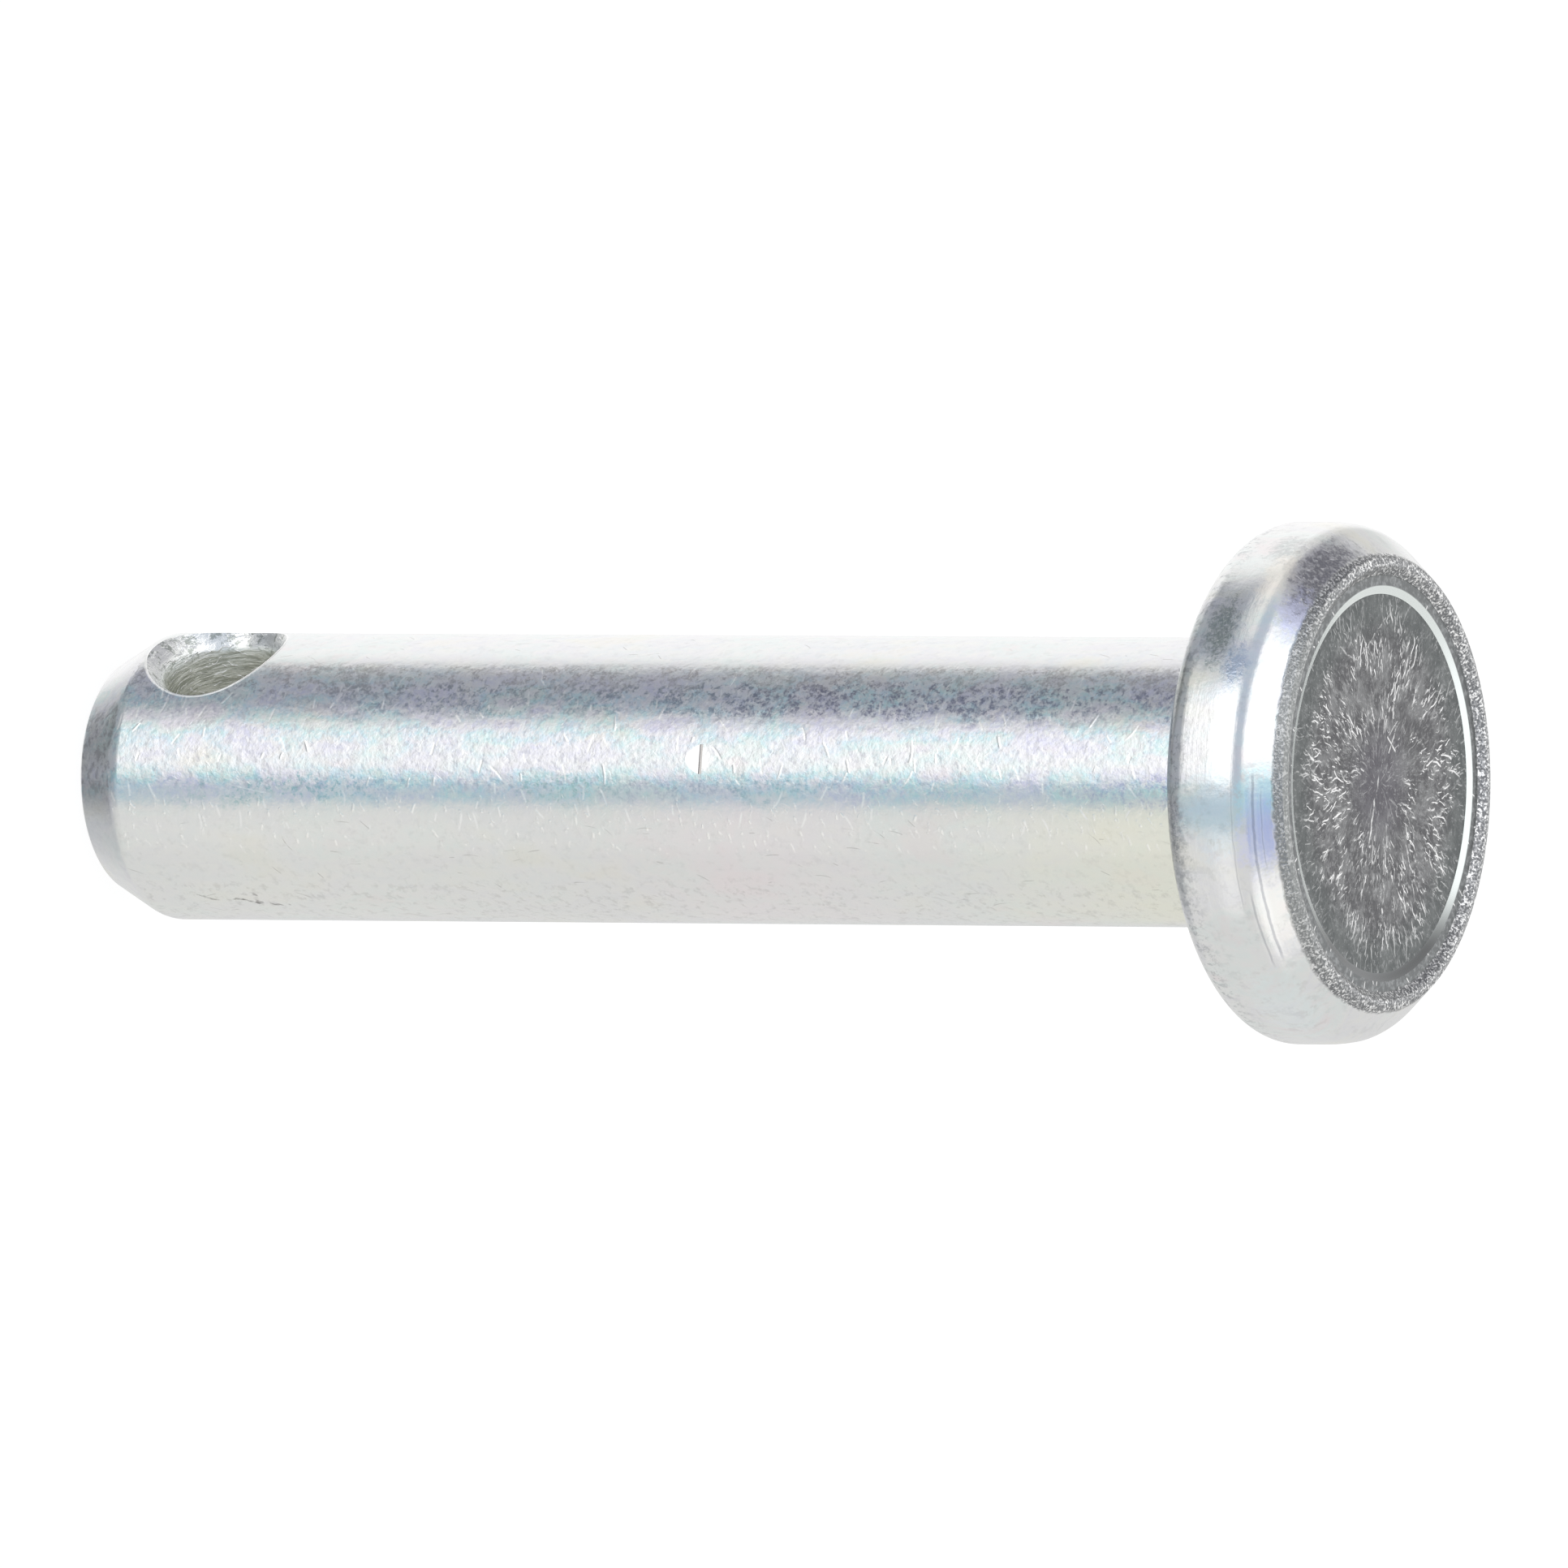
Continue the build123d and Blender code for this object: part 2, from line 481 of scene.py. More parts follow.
def make_struck_grain():
    """Group: coarse crushed grain with painted glints on a dull ground."""
    board, entry, result = new_group(
        "struck grain",
        [("Point", "Vector", None), ("Turn", "Float", 0.0), ("Fineness", "Float", 8.0)],
        [("Height", "Float"), ("Glints", "Float"), ("Calm", "Float")],
    )
    grain = board.noise(entry["Point"], entry["Fineness"], detail=2.0, roughness=0.6)
    beads = board.noise(entry["Point"], 4.5, detail=1.0)
    near = board.ease(board.math("ABSOLUTE", entry["Turn"]), 25.0, 75.0, 0.3, 1.0)
    # White points of the grain are painted glints, stronger towards the sides
    glints = board.ease(board.times_plus(beads, 0.45, grain), 0.76, 0.86)
    board.feed(result["Height"], grain)
    board.feed(result["Calm"], board.ease(board.math("ABSOLUTE", entry["Turn"]), 75.0, 25.0))
    board.feed(result["Glints"], board.times(glints, near))


def make_arc_line():
    """Group: a line round a turned surface, between two turns, with a soft start and end."""
    board, entry, result = new_group(
        "arc line",
        [
            ("Point", "Vector", None), ("Turn", "Float", 0.0), ("Height", "Float", 0.0),
            ("At height", "Float", 0.0), ("Rise", "Float", 0.0), ("Turn from", "Float", 0.0),
            ("Turn to", "Float", 0.0), ("Width", "Float", 0.05),
        ],
        [("Mask", "Float")],
    )
    wander = board.swing(entry["Point"], 0.9, detail=3.0, roughness=0.6)
    past = board.minus(entry["Turn"], entry["Turn from"])
    level = board.times_plus(past, entry["Rise"], entry["At height"])
    level = board.times_plus(wander, 0.12, level)
    away = board.away(entry["Height"], level)
    line = board.ease(board.math("DIVIDE", away, entry["Width"]), 0.6, 0.2)
    starts = board.ease(past, 0.0, 4.0)
    ends = board.ease(board.minus(entry["Turn to"], entry["Turn"]), 0.0, 4.0)
    board.feed(result["Mask"], board.times(line, starts, ends))


FAINT_TINTS = (
    # place, tint
    (0.28, (1.00, 0.985, 0.93)),
    (0.40, (1.00, 1.00, 1.00)),
    (0.47, (0.97, 0.97, 1.00)),
    (0.53, (1.00, 1.00, 1.00)),
    (0.60, (0.96, 1.00, 1.00)),
    (0.72, (1.00, 0.955, 0.965)),
)
BLOOM_TINTS = (
    (0.28, (0.93, 0.88, 1.00)),
    (0.38, (0.80, 0.81, 1.00)),
    (0.45, (0.94, 0.93, 1.00)),
    (0.51, (0.72, 0.89, 1.00)),
    (0.56, (0.66, 0.93, 0.97)),
    (0.61, (0.84, 0.97, 0.95)),
    (0.72, (0.96, 0.92, 1.00)),
)


def make_plating_tint():
    """Group: faint tints of the passivated zinc all over, and stronger bloom in bands along the shank."""
    board, entry, result = new_group(
        "plating tint",
        [
            ("Point", "Vector", None), ("Turn", "Float", 0.0), ("Colour", "Color", None),
            ("Bloom", "Float", 1.0),
        ],
        [("Colour", "Color")],
    )
    x, y, z = board.split(entry["Point"])
    stretched = board.combine(x, y, board.times(z, 0.5))
    ragged = board.noise(entry["Point"], 4.0, detail=3.0, roughness=0.7)
    shift = board.times(board.minus(ragged, 0.5), 0.20)

    def tints(scale, seed, stops):
        """A soft field of tints, with ragged edges."""
        moved = board.vector("ADD", stretched, (seed, 0.0, 0.0))
        field = board.noise(moved, scale, detail=2.0, roughness=0.6)
        return board.ramp(board.plus(field, shift), stops)[0]

    faint = tints(0.5, 0.0, FAINT_TINTS)
    bloom = tints(0.7, 31.0, BLOOM_TINTS)
    lower = board.band(entry["Turn"], -3.0, 3.0, 8.0)
    upper = board.band(entry["Turn"], 27.0, 8.0, 18.0)
    band = board.math("MAXIMUM", lower, board.times(upper, 0.8))
    flecks = board.ease(board.noise(entry["Point"], 5.5, detail=2.0, roughness=0.6), 0.38, 0.60, 0.40, 1.0)
    share = board.times(board.times_plus(band, 0.88, 0.12), entry["Bloom"], flecks)
    both = board.blend(1.0, faint, board.blend(share, WHITE, bloom), way="MULTIPLY")
    board.feed(result["Colour"], board.blend(1.0, entry["Colour"], both, way="MULTIPLY"))


def make_soft_patch():
    """Group: lays a soft-edged patch of light or shade over a sky, by turn and rise in degrees."""
    board, entry, result = new_group(
        "soft light patch",
        [
            ("Colour", "Color", None), ("Turn", "Float", 0.0), ("Rise", "Float", 0.0),
            ("Patch", "Color", None), ("Turn from", "Float", 0.0), ("Turn to", "Float", 0.0),
            ("Rise from", "Float", 0.0), ("Rise to", "Float", 0.0), ("Softness", "Float", 5.0),
        ],
        [("Colour", "Color")],
    )

    def between(value, start, end, wrapped):
        """One where the value lies between start and end, and soft at both."""
        middle = board.times(board.plus(start, end), 0.5)
        half = board.times(board.minus(end, start), 0.5)
        away = board.minus(value, middle)
        if wrapped:
            away = board.math("WRAP", away, 180.0, -180.0)
        outer = board.plus(half, entry["Softness"])
        inner = board.minus(half, entry["Softness"])
        return board.ease(board.math("ABSOLUTE", away), outer, inner)

    sideways = between(entry["Turn"], entry["Turn from"], entry["Turn to"], True)
    upright = between(entry["Rise"], entry["Rise from"], entry["Rise to"], False)
    mask = board.times(sideways, upright)
    board.feed(result["Colour"], board.blend(mask, entry["Colour"], entry["Patch"]))


# Finishes of the pin


def new_metal(name, roughness):
    """A metal material; returns it with its board and its shader."""
    material = bpy.data.materials.new(name)
    material.use_nodes = True
    board = Board(material.node_tree)
    shader = material.node_tree.nodes["Principled BSDF"]
    shader.inputs["Metallic"].default_value = 1.0
    shader.inputs["Roughness"].default_value = roughness
    return material, board, shader


def new_finish(name, roughness):
    """A metal material for a turned surface; returns also the group that places its patterns."""
    material, board, shader = new_metal(name, roughness)
    coordinates = board.node("ShaderNodeTexCoord").outputs["Object"]
    rotation = (0.0, 0.0, math.radians(PATTERN_TURN))
    turned = board.node("ShaderNodeMapping", {"Vector": coordinates, "Rotation": rotation})
    return material, board, shader, board.group("turned place", {"Point": turned.outputs["Vector"]})


def coat(board, shader, colour, height, depth):
    """Gives a surface its colour and presses a height pattern into it, with its depth in millimetres."""
    board.feed(shader.inputs["Base Color"], colour)
    bump = board.node("ShaderNodeBump", {"Height": height, "Distance": depth * MM, "Strength": 1.0})
    board.feed(shader.inputs["Normal"], bump.outputs["Normal"])


def dash_layer(
    board, place, seed, spacing, length, width, share, slant=0.1, spread=0.9, curl=0.0, radial=False
):
    """One layer of struck dashes; they cross the axis, or run outwards on a flat face."""
    along = place["Outward"] if radial else place["Across"]
    across = place["Across"] if radial else (0.0, 0.0, 1.0)
    return board.group(
        "struck dashes",
        {
            "Along": along, "Across": across, "Spacing": spacing, "Length": length, "Width": width,
            "Slant": slant, "Spread": spread, "Share": share, "Curl": curl, "Seed": seed,
        },
        place,
    )


def tinted(board, place, finish, bloom):
    """The plating's colour with its tints."""
    return board.group(
        "plating tint", {"Colour": finish.zinc, "Bloom": bloom * finish.tint}, place
    )["Colour"]


def grained(board, place, fineness, stretch, strokes, dimples):
    """The etched grain of the plating, with its depths in thousandths of a millimetre."""
    inputs = {"Fineness": fineness, "Stretch": stretch, "Strokes": strokes, "Dimples": dimples}
    return board.group("etched grain", inputs, place)


def scratched(board, place, start, end, width, wave=0.1, gaps=0.5):
    """One scratch between two points in millimetres, in the turned frame."""
    inputs = {"Start": start, "End": end, "Width": width, "Wave": wave, "Gaps": gaps}
    return board.group("scratch line", inputs, place)["Mask"]


def scuffed(board, place, turn, turn_reach, height, height_reach, fineness=3.0):
    """One ragged patch on a turned surface."""
    return board.group(
        "scuff",
        {
            "At turn": turn, "Turn reach": turn_reach, "At height": height, "Height reach": height_reach,
            "Fineness": fineness,
        },
        place,
    )["Mask"]


def on_shank(turn, height):
    """A point on the shank's surface in the turned frame, from its turn in degrees and its height."""
    radius = SHANK_RADIUS / MM
    return (radius * math.cos(math.radians(turn)), -radius * math.sin(math.radians(turn)), height)


def hole_place(board):
    """Where a point lies from the middle of the cross hole, in millimetres."""
    coordinates = board.node("ShaderNodeTexCoord").outputs["Object"]
    centre = (0.0, 0.0, -HOLE_HEIGHT / MM)
    scale = (1.0 / MM, 1.0 / MM, 1.0 / MM)
    placed = board.node("ShaderNodeMapping", {"Vector": coordinates, "Location": centre, "Scale": scale})
    return placed.outputs["Vector"]


def mouth_lip(board, sizes):
    """Mask of a thin lip round both mouths of the cross hole; the shank paints it white as a highlight."""
    _, y, z = board.split(hole_place(board))
    from_axis = board.vector("LENGTH", board.combine(0.0, y, z))
    upright = board.math("DIVIDE", z, from_axis)
    stretch = (sizes.mouth_along - sizes.mouth_across) / MM
    beside = (HOLE_RADIUS + sizes.mouth_across) / MM
    mouth = board.times_plus(board.times(upright, upright), stretch, beside)
    return board.ease(board.minus(from_axis, mouth), 0.10, 0.0)


# Stains of the band where the shank mirrors a dark part of the studio: partly the plating's tints, partly
# painted darker reflection
UPPER_TINTS_AND_SHADE = (
    # place as a share of the shank's length, stain, share
    (0.02, (0.32, 0.38, 0.50), 0.50),
    (0.20, (0.36, 0.40, 0.46), 0.40),
    (0.33, (0.22, 0.28, 0.35), 0.85),
    (0.42, (0.28, 0.36, 0.42), 0.55),
    (0.53, (0.22, 0.30, 0.38), 0.90),
    (0.64, (0.24, 0.25, 0.34), 1.00),
    (0.78, (0.22, 0.24, 0.34), 1.00),
    (0.90, (0.24, 0.28, 0.36), 0.90),
    (0.98, (0.26, 0.28, 0.42), 0.90),
)
# Stains of the band at the front: partly the plating's tints, partly the painted colour of a reflected band
LOWER_TINTS_AND_REFLECTION = (
    (0.02, (0.36, 0.46, 0.74), 0.85),
    (0.08, (0.60, 0.66, 0.80), 0.20),
    (0.15, (0.24, 0.52, 0.52), 0.85),
    (0.25, (0.20, 0.48, 0.58), 1.00),
    (0.34, (0.56, 0.56, 0.78), 0.35),
    (0.43, (0.28, 0.54, 0.50), 0.90),
    (0.53, (0.42, 0.42, 0.58), 0.55),
    (0.62, (0.24, 0.50, 0.56), 0.95),
    (0.73, (0.56, 0.50, 0.76), 0.45),
    (0.84, (0.56, 0.66, 0.80), 0.35),
    (0.96, (0.27, 0.29, 0.62), 1.00),
)
UNDER_TINTS = (
    (0.05, (0.88, 0.89, 0.85), 0.45),
    (0.20, (0.93, 0.93, 0.88), 0.40),
    (0.45, (0.88, 0.88, 0.84), 0.40),
    (0.58, (0.94, 0.87, 0.88), 0.55),
    (0.74, (0.90, 0.91, 0.87), 0.40),
    (0.92, (0.94, 0.94, 0.80), 0.65),
)
SHANK_MARKS = (
    # start and end as turn in degrees and height, width, wave, share, stain
    ((-57.0, 4.2), (-60.5, 5.8), 0.20, 0.9, 0.62, (0.22, 0.21, 0.20)),
    ((-60.5, 5.8), (-62.5, 7.4), 0.22, 0.9, 0.80, (0.16, 0.155, 0.15)),
    ((-53.0, 6.4), (-60.0, 6.2), 0.20, 0.9, 0.60, (0.24, 0.23, 0.22)),
    ((-24.0, 8.3), (-46.0, 9.6), 0.06, 0.4, 0.45, (0.36, 0.34, 0.32)),
    ((-3.0, 6.5), (-6.5, 8.1), 0.07, 0.3, 0.70, WHITE),
    ((34.0, 3.7), (6.0, 3.3), 0.10, 0.2, 0.60, (0.50, 0.53, 0.58)),
    ((56.0, 8.4), (47.0, 9.9), 0.07, 0.3, 0.60, (0.66, 0.65, 0.64)),
    ((52.0, 7.9), (44.0, 9.4), 0.06, 0.3, 0.60, (0.66, 0.65, 0.64)),
    ((50.0, 15.2), (41.0, 17.5), 0.06, 0.3, 0.40, (0.60, 0.59, 0.58)),
)


def shank_finish(finish, sizes):
    """Zinc plating of the shank: grain, struck dashes, stained and tinted bands that are partly painted
    reflection and shade, dashes painted white as glints, scratches and a crack, and highlights painted round
    the hole's mouths and the struck mark.
    """
    material, board, shader, place = new_finish("shank zinc", finish.shank_gloss)
    turn = place["Turn"]
    front_band = board.band(turn, 19.0, 30.0, 8.0)
    quiet = board.minus(1.0, front_band)
    grain = grained(board, place, 6.0, 2.0, 1.8, 14.0)
    large = dash_layer(board, place, 0.0, 0.85, 0.72, 0.145, 0.38, spread=0.7)
    small = dash_layer(board, place, 4.1, 0.42, 0.30, 0.08, 0.42, spread=1.2)
    height = board.times_plus(large["Height"], 11.0, grain["Height"])
    height = board.times_plus(small["Height"], 2.5, height)
    height = board.times(height, board.times_plus(front_band, 0.8, 0.2))
    colour = tinted(board, place, finish, 1.0)

    ragged = board.noise(place["Point"], 3.6, detail=4.0, roughness=0.7)
    hue = board.swing(place["Point"], 0.7, detail=3.0, roughness=0.7)
    clumps = board.ease(board.times_plus(hue, 0.45, ragged), 0.44, 0.60)
    grit = board.ease(board.noise(place["Point"], 9.0, detail=2.0, roughness=0.6), 0.38, 0.60, 0.35, 1.0)
    clumps = board.times(clumps, grit)
    # Dark flakes at the edge of the dark band: partly marks in the plating, partly painted darker reflection
    flakes_and_shade = board.times(clumps, board.band(turn, 43.0, 6.0, 5.0))
    colour = board.stain(colour, (0.36, 0.34, 0.33), flakes_and_shade, 0.55)
    along = board.times_plus(hue, 9.0, place["Height"])
    along = board.math("DIVIDE", along, UNDERSIDE / MM)
    swayed = board.times_plus(hue, 22.0, turn)
    # The upper stains are partly painted shade in the dark reflection band; the lower ones partly paint the
    # colour of a reflected band
    for stops, middle, reach, edge, strength in (
        (UPPER_TINTS_AND_SHADE, 33.0, 4.0, 7.0, 0.86),
        (LOWER_TINTS_AND_REFLECTION, -4.0, 3.2, 4.5, 0.80),
    ):
        stain, share = board.ramp(along, stops)
        patches = board.times(clumps, share, board.band(swayed, middle, reach, edge))
        colour = board.stain(colour, stain, patches, strength)
    warm, share = board.ramp(along, UNDER_TINTS)
    colour = board.stain(colour, warm, board.times(share, board.band(turn, -42.0, 28.0, 16.0)))
    # White dashes painted as glints on one side of the shank
    white_glint_dashes = dash_layer(board, place, 21.0, 0.34, 0.30, 0.10, 0.40, spread=1.2)["Mask"]
    colour = board.stain(colour, WHITE, board.times(white_glint_dashes, board.band(turn, 38.0, 10.0, 5.0)), 0.55)
    pitted = board.times(grain["Pits"], board.band(turn, 16.0, 18.0, 6.0))
    colour = board.stain(colour, (0.36, 0.37, 0.46), pitted, 0.30)
    # Struck dashes in the band facing the light are painted near white as glints
    strokes = board.band(turn, 6.0, 22.0, 12.0)
    colour = board.stain(colour, (1.0, 1.0, 0.99), board.times(large["Mask"], strokes), 0.9)
    colour = board.stain(colour, WHITE, board.times(small["Mask"], strokes), 0.35)
    # Light dashes in one band: pressed in as real marks, and painted near white as glints
    cream_glint_dashes = dash_layer(board, place, 12.7, 0.46, 0.38, 0.15, 0.55, slant=0.2, spread=0.6)["Mask"]
    cream_glint_dashes = board.times(cream_glint_dashes, board.band(turn, -19.0, 5.0, 12.0))
    cream_glint_dashes = board.times(cream_glint_dashes, board.ease(ragged, 0.45, 0.56, 0.1, 1.0))
    colour = board.stain(colour, (1.0, 0.99, 0.96), cream_glint_dashes, 0.85)
    height = board.times_plus(cream_glint_dashes, 8.0, height)

    marks = dash_layer(board, place, 9.3, 0.8, 0.60, 0.060, 0.45, slant=1.3, spread=0.6)["Mask"]
    smudges = board.ease(board.noise(place["Point"], 0.55, detail=3.0, roughness=0.6), 0.47, 0.60)
    marks = board.times(marks, quiet, smudges)
    colour = board.stain(colour, (0.34, 0.33, 0.31), marks, 0.45)
    faint = board.ease(board.noise(place["Point"], 3.0, detail=4.0, roughness=0.7), 0.50, 0.68)
    colour = board.stain(colour, (0.35, 0.35, 0.34), board.times(faint, quiet), 0.10)
    low = board.times(faint, board.band(turn, -66.0, 12.0, 14.0))
    colour = board.stain(colour, (0.30, 0.29, 0.27), low, 0.14)
    for start, end, width, wave, share, stain in SHANK_MARKS:
        line = scratched(board, place, on_shank(*start), on_shank(*end), width, wave=wave, gaps=0.1)
        colour = board.stain(colour, stain, line, share)
    # The lip round the hole's mouths is painted white as a highlight, and pressed in
    lip = mouth_lip(board, sizes)
    colour = board.stain(colour, WHITE, lip)
    height = board.times_plus(lip, -26.0, height)
    # White is painted round the struck mark on the shank as a highlight
    nick = on_shank(-PATTERN_TURN - math.degrees(sizes.nick_turn), sizes.nick_height / MM + 0.05)
    halo = board.vector("LENGTH", board.vector("SUBTRACT", place["Point"], nick))
    colour = board.stain(colour, WHITE, board.ease(halo, 0.62, 0.30))
    coat(board, shader, colour, height, 0.001)
    return material


def struck_grain(board, place):
    """The crushed grain of the rim: its colour, with painted glints, and its height."""
    crush = board.group("struck grain", {"Fineness": 11.0}, place)
    ground = board.blend(board.ease(crush["Height"], 0.40, 0.58), (0.20, 0.205, 0.215), (0.46, 0.465, 0.475))
    ground = board.stain(ground, (0.33, 0.345, 0.34), crush["Calm"], 0.6)
    return board.blend(crush["Glints"], ground, WHITE), crush["Height"]


def arc_line(board, place, height, rise, start, end, width):
    """A line round part of a turned surface; it climbs by its rise for each degree."""
    inputs = {"At height": height, "Rise": rise, "Turn from": start, "Turn to": end, "Width": width}
    return board.group("arc line", inputs, place)["Mask"]


HEAD_TINTS = (
    # turn and its reach in degrees, height over the underside and its reach, share, tint
    (-3.0, 6.0, 3.60, 0.75, 0.80, (0.66, 0.94, 1.00)),
    (-13.0, 8.0, 3.60, 0.75, 0.75, (0.76, 0.78, 1.00)),
    (-7.0, 9.0, 2.10, 0.80, 0.50, (0.80, 0.90, 0.98)),
    (45.0, 8.0, 3.70, 0.50, 0.80, (0.70, 0.73, 0.98)),
    (53.0, 9.0, 2.70, 0.50, 0.50, (1.00, 0.94, 0.86)),
    (-33.0, 9.0, 3.60, 0.50, 0.40, (1.00, 0.95, 0.90)),
    (-62.0, 14.0, 2.60, 0.90, 0.30, (0.86, 0.97, 1.00)),
)
HEAD_SCUFFS = (
    # turn and its reach, height over the underside and its reach, share, stain, depth of its bumps
    (62.0, 15.0, 3.75, 0.62, 0.85, (0.21, 0.21, 0.245), 30.0),
    (36.0, 9.0, 1.55, 0.55, 0.80, (0.26, 0.31, 0.30), 20.0),
    (-15.0, 15.0, 0.35, 0.55, 0.55, (0.34, 0.35, 0.36), 20.0),
    (27.0, 5.0, 2.45, 0.45, 0.60, (0.36, 0.46, 0.62), 15.0),
    (64.0, 7.0, 2.30, 0.60, 0.45, (0.40, 0.42, 0.42), 15.0),
)


def head_finish(finish, sizes):
    """Side of the head: zinc with drag lines, scuffs, tints and lap lines, white dashes painted as glints in
    a scuff, painted shade near the underside, pale lines painted as highlights over the lap lines, and
    crushed grain with painted glints at its top.
    """
    material, board, shader, place = new_finish("head zinc", finish.head_gloss)
    foot = UNDERSIDE / MM
    grain = grained(board, place, 6.0, 1.6, 2.5, 8.0)
    fine = board.swing(place["Point"], 9.0, detail=2.0)
    along = board.combine(board.times(place["Turn"], 0.05), board.times(place["Height"], 5.0), 0.0)
    crisp = board.ease(board.noise(place["Point"], 5.5, detail=3.0, roughness=0.7), 0.36, 0.54, 0.35, 1.0)
    drags = board.swing(along, 1.6, detail=3.0, roughness=0.65)
    colour = tinted(board, place, finish, 0.3)
    height = board.times_plus(drags, 3.5, grain["Height"])
    for turn, turn_reach, at, reach, share, tint in HEAD_TINTS:
        patch = scuffed(board, place, turn, turn_reach, foot + at, reach, fineness=3.2)
        colour = board.stain(colour, tint, patch, share)
    for turn, turn_reach, at, reach, share, stain, rough in HEAD_SCUFFS:
        patch = board.times(scuffed(board, place, turn, turn_reach, foot + at, reach, fineness=4.0), crisp)
        colour = board.stain(colour, stain, patch, share)
        height = board.times_plus(board.times(fine, patch), rough, height)
    # White dashes painted as glints in a scuff near the top of the head
    white_glint_dashes = dash_layer(board, place, 6.1, 0.34, 0.22, 0.09, 0.35, spread=3.0)["Mask"]
    scuffs = scuffed(board, place, 60.0, 20.0, foot + 3.6, 0.9, fineness=3.0)
    colour = board.stain(colour, WHITE, board.times(white_glint_dashes, scuffs), 0.8)
    # Darker mottle near the head's underside is painted shade
    under = board.ease(place["Height"], foot + 1.6, foot + 0.5)
    spots = board.ease(board.noise(place["Point"], 3.5, detail=4.0, roughness=0.7), 0.50, 0.62)
    colour = board.stain(colour, (0.34, 0.36, 0.38), board.times(under, spots), 0.52)
    faint = board.ease(board.noise(place["Point"], 1.6, detail=4.0, roughness=0.7), 0.52, 0.66)
    colour = board.stain(colour, (0.35, 0.36, 0.37), faint, 0.14)
    # Each lap line is a dark line inside a wider pale band, which is painted white as a highlight
    for at, rise, start, end, width, share in (
        (3.38, 0.0005, -46.0, 4.0, 0.085, 0.42),
        (3.62, 0.0, -22.0, 0.0, 0.045, 0.25),
        (3.10, -0.002, -47.0, -24.0, 0.07, 0.32),
        (2.75, 0.001, -30.0, 12.0, 0.05, 0.2),
    ):
        pale = arc_line(board, place, foot + at, rise, start, end, width * 3.5)
        dark = arc_line(board, place, foot + at, rise, start, end, width)
        colour = board.stain(colour, WHITE, pale, share)
        colour = board.stain(colour, (0.20, 0.22, 0.28), dark, share)
    crush_colour, crush_height = struck_grain(board, place)
    ragged = board.swing(place["Point"], 3.0, detail=2.0)
    level = board.times_plus(ragged, 0.14, place["Height"])
    top = (PIN_TOP - sizes.rim_drop) / MM
    start = board.ease(board.math("ABSOLUTE", place["Turn"]), 50.0, 100.0, top - 0.28, top - 0.10)
    crushed = board.ease(board.minus(level, start), -0.06, 0.05)
    colour = board.blend(crushed, colour, crush_colour)
    height = board.times_plus(board.times(crush_height, crushed), 28.0, height)
    coat(board, shader, colour, height, 0.001)
    return material


FACE_HAIRS = (
    # spacing, length, width, share of cells, curl, depth in thousandths of a millimetre
    (0.72, 1.30, 0.090, 0.62, 0.35, 18.0),
    (0.44, 0.70, 0.070, 0.62, 0.28, 16.0),
    (0.26, 0.28, 0.055, 0.40, 0.20, 16.0),
)
FACE_SCRATCHES = (
    # start, end, width, wave, share; places in millimetres towards the scratch's side of the face
    ((0.1, -0.3), (0.75, 2.0), 0.14, 0.35, 0.8),
    ((0.75, 2.0), (1.4, 4.1), 0.11, 0.4, 0.7),
    ((3.1, -4.7), (1.7, -4.2), 0.11, 0.5, 0.4),
    ((1.7, -4.2), (-0.4, -5.75), 0.10, 0.5, 0.4),
    ((-1.15, -1.1), (-0.55, -1.6), 0.12, 0.1, 0.9),
    ((-0.65, -1.05), (-1.05, -1.65), 0.10, 0.1, 0.9),
)


